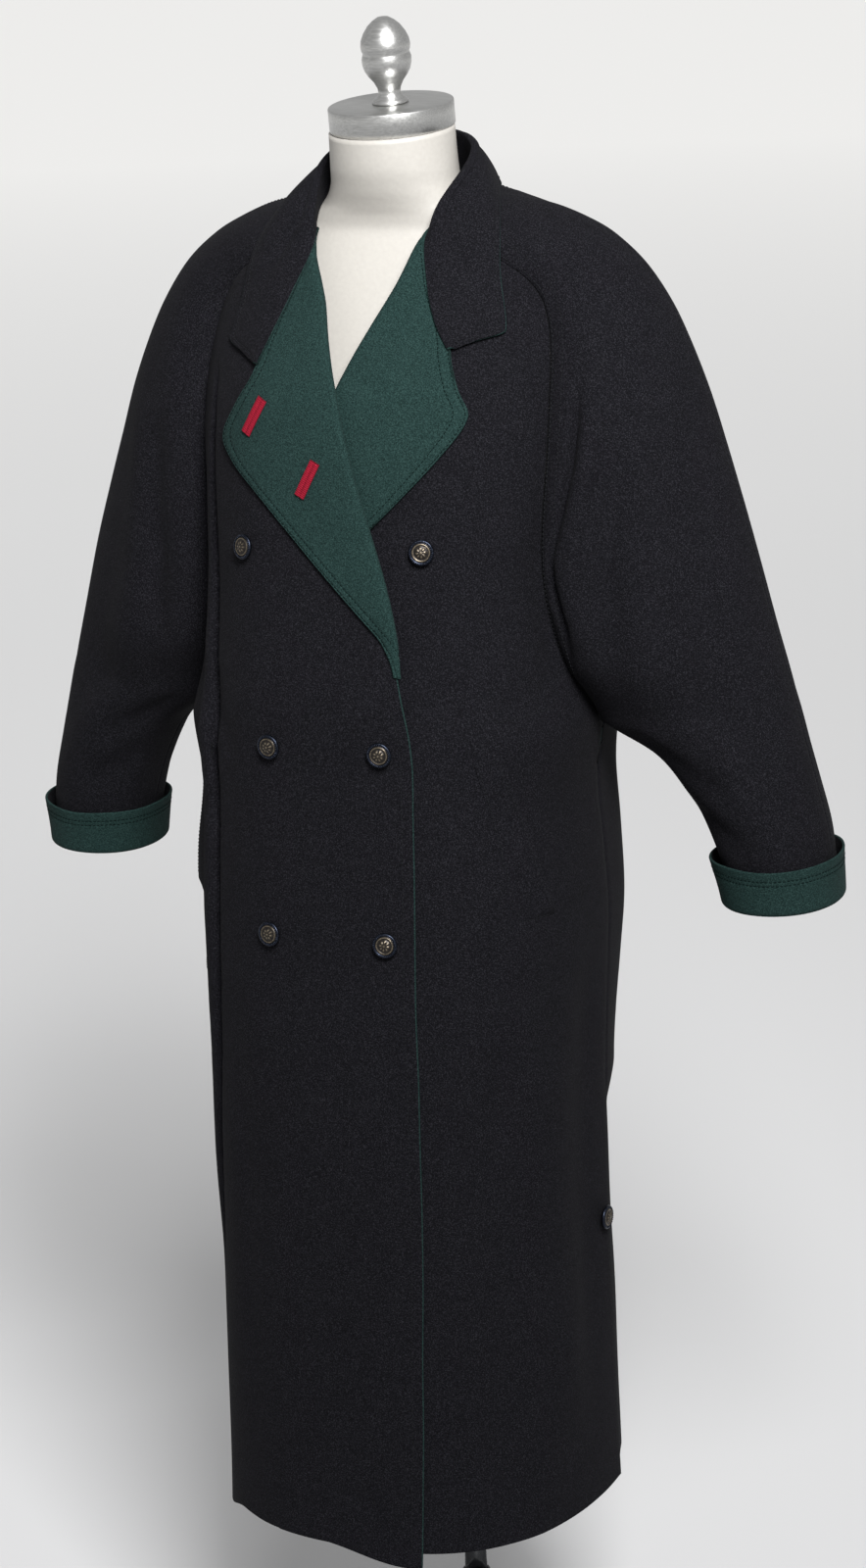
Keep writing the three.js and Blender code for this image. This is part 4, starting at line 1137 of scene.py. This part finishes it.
def capped(foot, rings, top):
    """Points and faces of closed rings, with a point that closes them at each end."""
    count = rings.shape[1]
    points = np.concatenate([[foot], rings.reshape(-1, 3), [top]])
    ids = 1 + np.arange(len(rings) * count).reshape(-1, count)
    ahead = np.roll(ids, -1, 1)
    corners = (
        (0 * ids[0], ahead[0], ids[0]),
        (ids[:-1], ahead[:-1], ahead[1:]),
        (ids[:-1], ahead[1:], ids[1:]),
        (ids[-1], ahead[-1], 0 * ids[0] + len(points) - 1),
    )
    return points, np.concatenate([np.stack([c.ravel() for c in three], -1) for three in corners])


def lathe(profile, segments):
    """Points and faces of a profile turned about the third axis; its ends lie on the axis."""
    around = np.arange(segments) * 2 * math.pi / segments
    circle = np.stack([np.cos(around), np.sin(around), 0 * around], -1)
    inner = np.array(profile[1:-1], float)
    rings = inner[:, :1, None] * circle + inner[:, 1:, None] * np.array([0, 0, 1.0])
    return capped([0, 0, profile[0][1]], rings, [0, 0, profile[-1][1]])


def button_mesh():
    points, body = lathe(RINGS, 64)
    radius = np.hypot(points[:, 0], points[:, 1])
    angle = np.arctan2(points[:, 1], points[:, 0])
    top = points[:, 2] > 3
    petal = np.cos(PETALS * angle / 2) ** 2
    leaf = 0.55 * petal * np.exp(-(((radius - 3.6) / 1.5) ** 2)) * top
    eye = 0.35 * np.exp(-((radius / 1.1) ** 2)) * top
    points[:, 2] += leaf + eye - 0.2 * top * np.exp(-(((radius - 5.9) / 0.4) ** 2))
    relief = 0.2 + 0.5 * (leaf / 0.55) + 0.5 * eye / 0.35 + 0.45 * np.exp(-(((radius - 7.5) / 0.6) ** 2)) * top
    relief = np.where(radius > 8.6, 0.1, relief)
    faces, slots = [body], [np.where(radius[body].mean(1) > 8.75, 1, 0)]
    ball, ball_faces = lathe([(0, -0.62), (0.45, -0.43), (0.62, 0), (0.45, 0.43), (0, 0.62)], 8)
    for k in range(BEADS):
        a = 2 * math.pi * k / BEADS
        centre = np.array([9.75 * math.cos(a), 9.75 * math.sin(a), 4.05])
        faces.append(ball_faces + len(points))
        slots.append(np.ones(len(ball_faces), int))
        points = np.concatenate([points, ball + centre])
        relief = np.concatenate([relief, np.full(len(ball), 0.3)])
    return points, np.concatenate(faces), np.concatenate(slots), relief


BUTTON = button_mesh()


def add_button(name, side, x, z, spin):
    seat_out = CLOTH / 2 + 2.5 * SEAM_GAP + 0.25 * BUTTON_HEIGHT
    seat, up = front_surface(side, x, z, seat_out)
    up = unit(up)
    beside = unit(np.cross(up, [0, 0, 1.0]))
    ahead = np.cross(beside, up)
    points, faces, slots, relief = BUTTON
    c, s = math.cos(spin), math.sin(spin)
    x, y = points[:, 0], points[:, 1]
    turned = points_of(x * c - y * s, x * s + y * c, points[:, 2])
    placed = seat + turned[:, :1] * -beside + turned[:, 1:2] * ahead + turned[:, 2:] * up
    piece = make_mesh(name + "_metal", placed, faces, [button_metal, button_rim], slots)
    layer = piece.data.attributes.new("relief", "FLOAT", "POINT")
    layer.data.foreach_set("value", relief.astype(np.float32))
    dress(piece, name, slot="button")


for i, (z, x) in enumerate(BUTTON_ROWS):
    add_button(f"button_front_{2 * i + 1}", -1, x, z, 0.3 * i)
    if i == 0:
        add_button("button_front_2", 1, x, z, 0.9)
    else:
        add_button(f"button_front_{2 * i + 2}", -1, -x, z, 1.1 * i)
vent_row = row_at(FRONT, "z", VENT_BUTTON_Z)
vent_x = float(section_point(vent_row, -1, math.radians(87.5))[0])
add_button("button_side_left", 1, vent_x, VENT_BUTTON_Z, 0.5)
add_button("button_side_right", -1, vent_x, VENT_BUTTON_Z, 0.2)

# Dress form
heights = np.concatenate([
    np.linspace(TORSO["z"][i], TORSO["z"][i + 1], 9)[:-1] for i in range(len(TORSO["z"]) - 1)
] + [TORSO["z"][-1:]])
row = across_rows(TORSO, heights)
around = np.arange(96) * 2 * math.pi / 96
reach = np.where(np.cos(around) > 0, row["front"], row["back"])
y = -reach * np.cos(around)
lean = math.tan(CAP_TILT) * y * smoothstep(heights, 1532, heights[-1])[:, None]
rings = points_of(row["halfWidth"] * np.sin(around), row["middle"] + y, row["z"] + lean)
points, tris = capped(rings[0].mean(0), rings, rings[-1].mean(0))
dress(make_mesh("form_torso_skin", points, tris, [form_white]), "form_torso", slot="form")


def turned_piece(name, profile, segments, material, node, slot, place=None):
    points, faces = lathe(profile, segments)
    return dress(make_mesh(name, place(points) if place else points, faces, [material]), node, slot=slot)


cap_up = np.array([0, -math.sin(CAP_TILT), math.cos(CAP_TILT)])
cap_side = np.array([1.0, 0, 0])
cap_back = np.cross(cap_up, cap_side)


def on_cap(points):
    return CAP_CENTRE + points[:, :1] * cap_side + points[:, 1:2] * cap_back + points[:, 2:] * cap_up


CAP = [
    (0, -CAP_HEIGHT), (NECK_RADIUS - 1, -CAP_HEIGHT), (NECK_RADIUS, 1 - CAP_HEIGHT), (NECK_RADIUS, -1.4),
    (NECK_RADIUS - 0.4, -0.5), (NECK_RADIUS - 1.4, 0), (30, 0), (0, 0),
]
turned_piece("form_cap_disc", CAP, 96, aluminium, "form_cap", "cap", on_cap)
FINIAL = table("r h", [
    [16.5, 0], [16.4, 1.6], [15, 3.4], [11.4, 6.2], [10.1, 9.5], [10.6, 13.5], [13.6, 19.4],
    [17.8, 24.6], [20.6, 29.5], [22.2, 35], [22.4, 40], [21.3, 43.6], [21, 45.2], [22, 47.4],
    [22.5, 51], [21.6, 56.5], [19, 62.5], [14.8, 68.6], [10, 73], [5, 76],
])
profile = [(0, SEAM_GAP)] + [(r, h + SEAM_GAP) for r, h in zip(FINIAL["r"], FINIAL["h"])] + [(0, 77)]
turned_piece("form_finial_knob", profile, 64, aluminium, "form_finial", "cap", on_cap)
pole_top = TORSO["z"][0] - SEAM_GAP
pole_foot = POLE_SOCKET_Z + SEAM_GAP
turned_piece("form_pole_tube", [(0, pole_foot), (POLE_RADIUS, pole_foot), (POLE_RADIUS, 300), (POLE_RADIUS, 520),
                                (POLE_RADIUS, pole_top), (0, pole_top)], 64, chrome, "form_pole", "pole")
BASE = [
    (0, 0), (183.5, 0), (BASE_RADIUS, 1.5), (BASE_RADIUS, 7), (183.6, 9.6), (180, 12), (120, 15), (60, 20), (38, 26),
    (24, 34), (18.6, 44), (16, 56), (14.9, 86), (14.5, 112), (14.2, 115.4), (13.6, 116),
    (POLE_RADIUS + SEAM_GAP, 116), (POLE_RADIUS + SEAM_GAP, POLE_SOCKET_Z), (0, POLE_SOCKET_Z),
]
turned_piece("form_base_plate", BASE, 96, base_black, "form_base", "base")

# Floor, light and camera
FLOOR_RADIUS = 60000
# The floor's colour is painted shade and light: darker near the form and lighter far away, standing in for how the
# light falls off across the floor.
floor_material, tree = new_material("floor")
away = add_node(tree, "VectorMath", "Value", {0: place_of(tree)}, operation="LENGTH")
far = add_node(tree, "MapRange", "Result", {"Value": away, "From Min": 1, "From Max": 16})
stops = (0.0, (0.56, 0.56, 0.565)), (0.35, (0.72, 0.72, 0.72)), (1.0, (0.93, 0.925, 0.91))
shade(tree, {"Base Color": ramp(tree, far, *stops), "Roughness": 0.9, "Specular IOR Level": 0.1})
around = np.linspace(0, 2 * math.pi, 73)[:-1]
rim = FLOOR_RADIUS * np.stack([np.cos(around), np.sin(around), 0 * around], -1)
n = len(rim)
wedges = np.array([(i, (i + 1) % n, n) for i in range(n)])
make_mesh("floor", np.concatenate([rim, [[0, 0, 0]]]), wedges, [floor_material])

scene = bpy.context.scene
scene.view_settings.view_transform = "Standard"
world = bpy.data.worlds.new("studio")
scene.world = world
world.use_nodes = True
world.node_tree.nodes["Background"].inputs["Color"].default_value = (1, 1, 1, 1)
world.node_tree.nodes["Background"].inputs["Strength"].default_value = 0.5


def area_light(name, place, target, width, height, power):
    light = bpy.data.lights.new(name, "AREA")
    light.shape, light.size, light.size_y, light.energy = "RECTANGLE", width, height, power
    light.spread = math.radians(75)
    lamp = bpy.data.objects.new(name, light)
    lamp.location = place
    lamp.rotation_euler = (Vector(target) - Vector(place)).to_track_quat("-Z", "Y").to_euler()
    scene.collection.objects.link(lamp)


area_light("key", (1.4, -1.95, 2.95), (0, 0, 1.5), 0.9, 0.9, 28)
sun = bpy.data.lights.new("sun", "SUN")
sun.energy, sun.angle = 1.9, math.radians(24)
lamp = bpy.data.objects.new("sun", sun)
lamp.rotation_euler = Vector((-1.3, 1.8, -2.2)).to_track_quat("-Z", "Y").to_euler()
scene.collection.objects.link(lamp)

AZIMUTH, DISTANCE, HEIGHT = math.radians(24.85), 3.204, 1.862
YAW, PITCH, ROLL = math.radians(24.85 + 0.146), math.radians(15.85), math.radians(-2.59)
forward = Vector((-math.sin(YAW) * math.cos(PITCH), math.cos(YAW) * math.cos(PITCH), -math.sin(PITCH)))
level = Vector((math.cos(YAW), math.sin(YAW), 0))
upright = level.cross(forward)
right_way = math.cos(ROLL) * level + math.sin(ROLL) * upright
up_way = -math.sin(ROLL) * level + math.cos(ROLL) * upright
camera_data = bpy.data.cameras.new("camera")
camera_data.lens = 79.76
camera_data.sensor_width = 36
camera = bpy.data.objects.new("camera", camera_data)
turn = Matrix((right_way, up_way, -forward)).transposed()
camera.matrix_world = Matrix.Translation(
    (DISTANCE * math.sin(AZIMUTH), -DISTANCE * math.cos(AZIMUTH), HEIGHT)) @ turn.to_4x4()
scene.collection.objects.link(camera)
scene.camera = camera
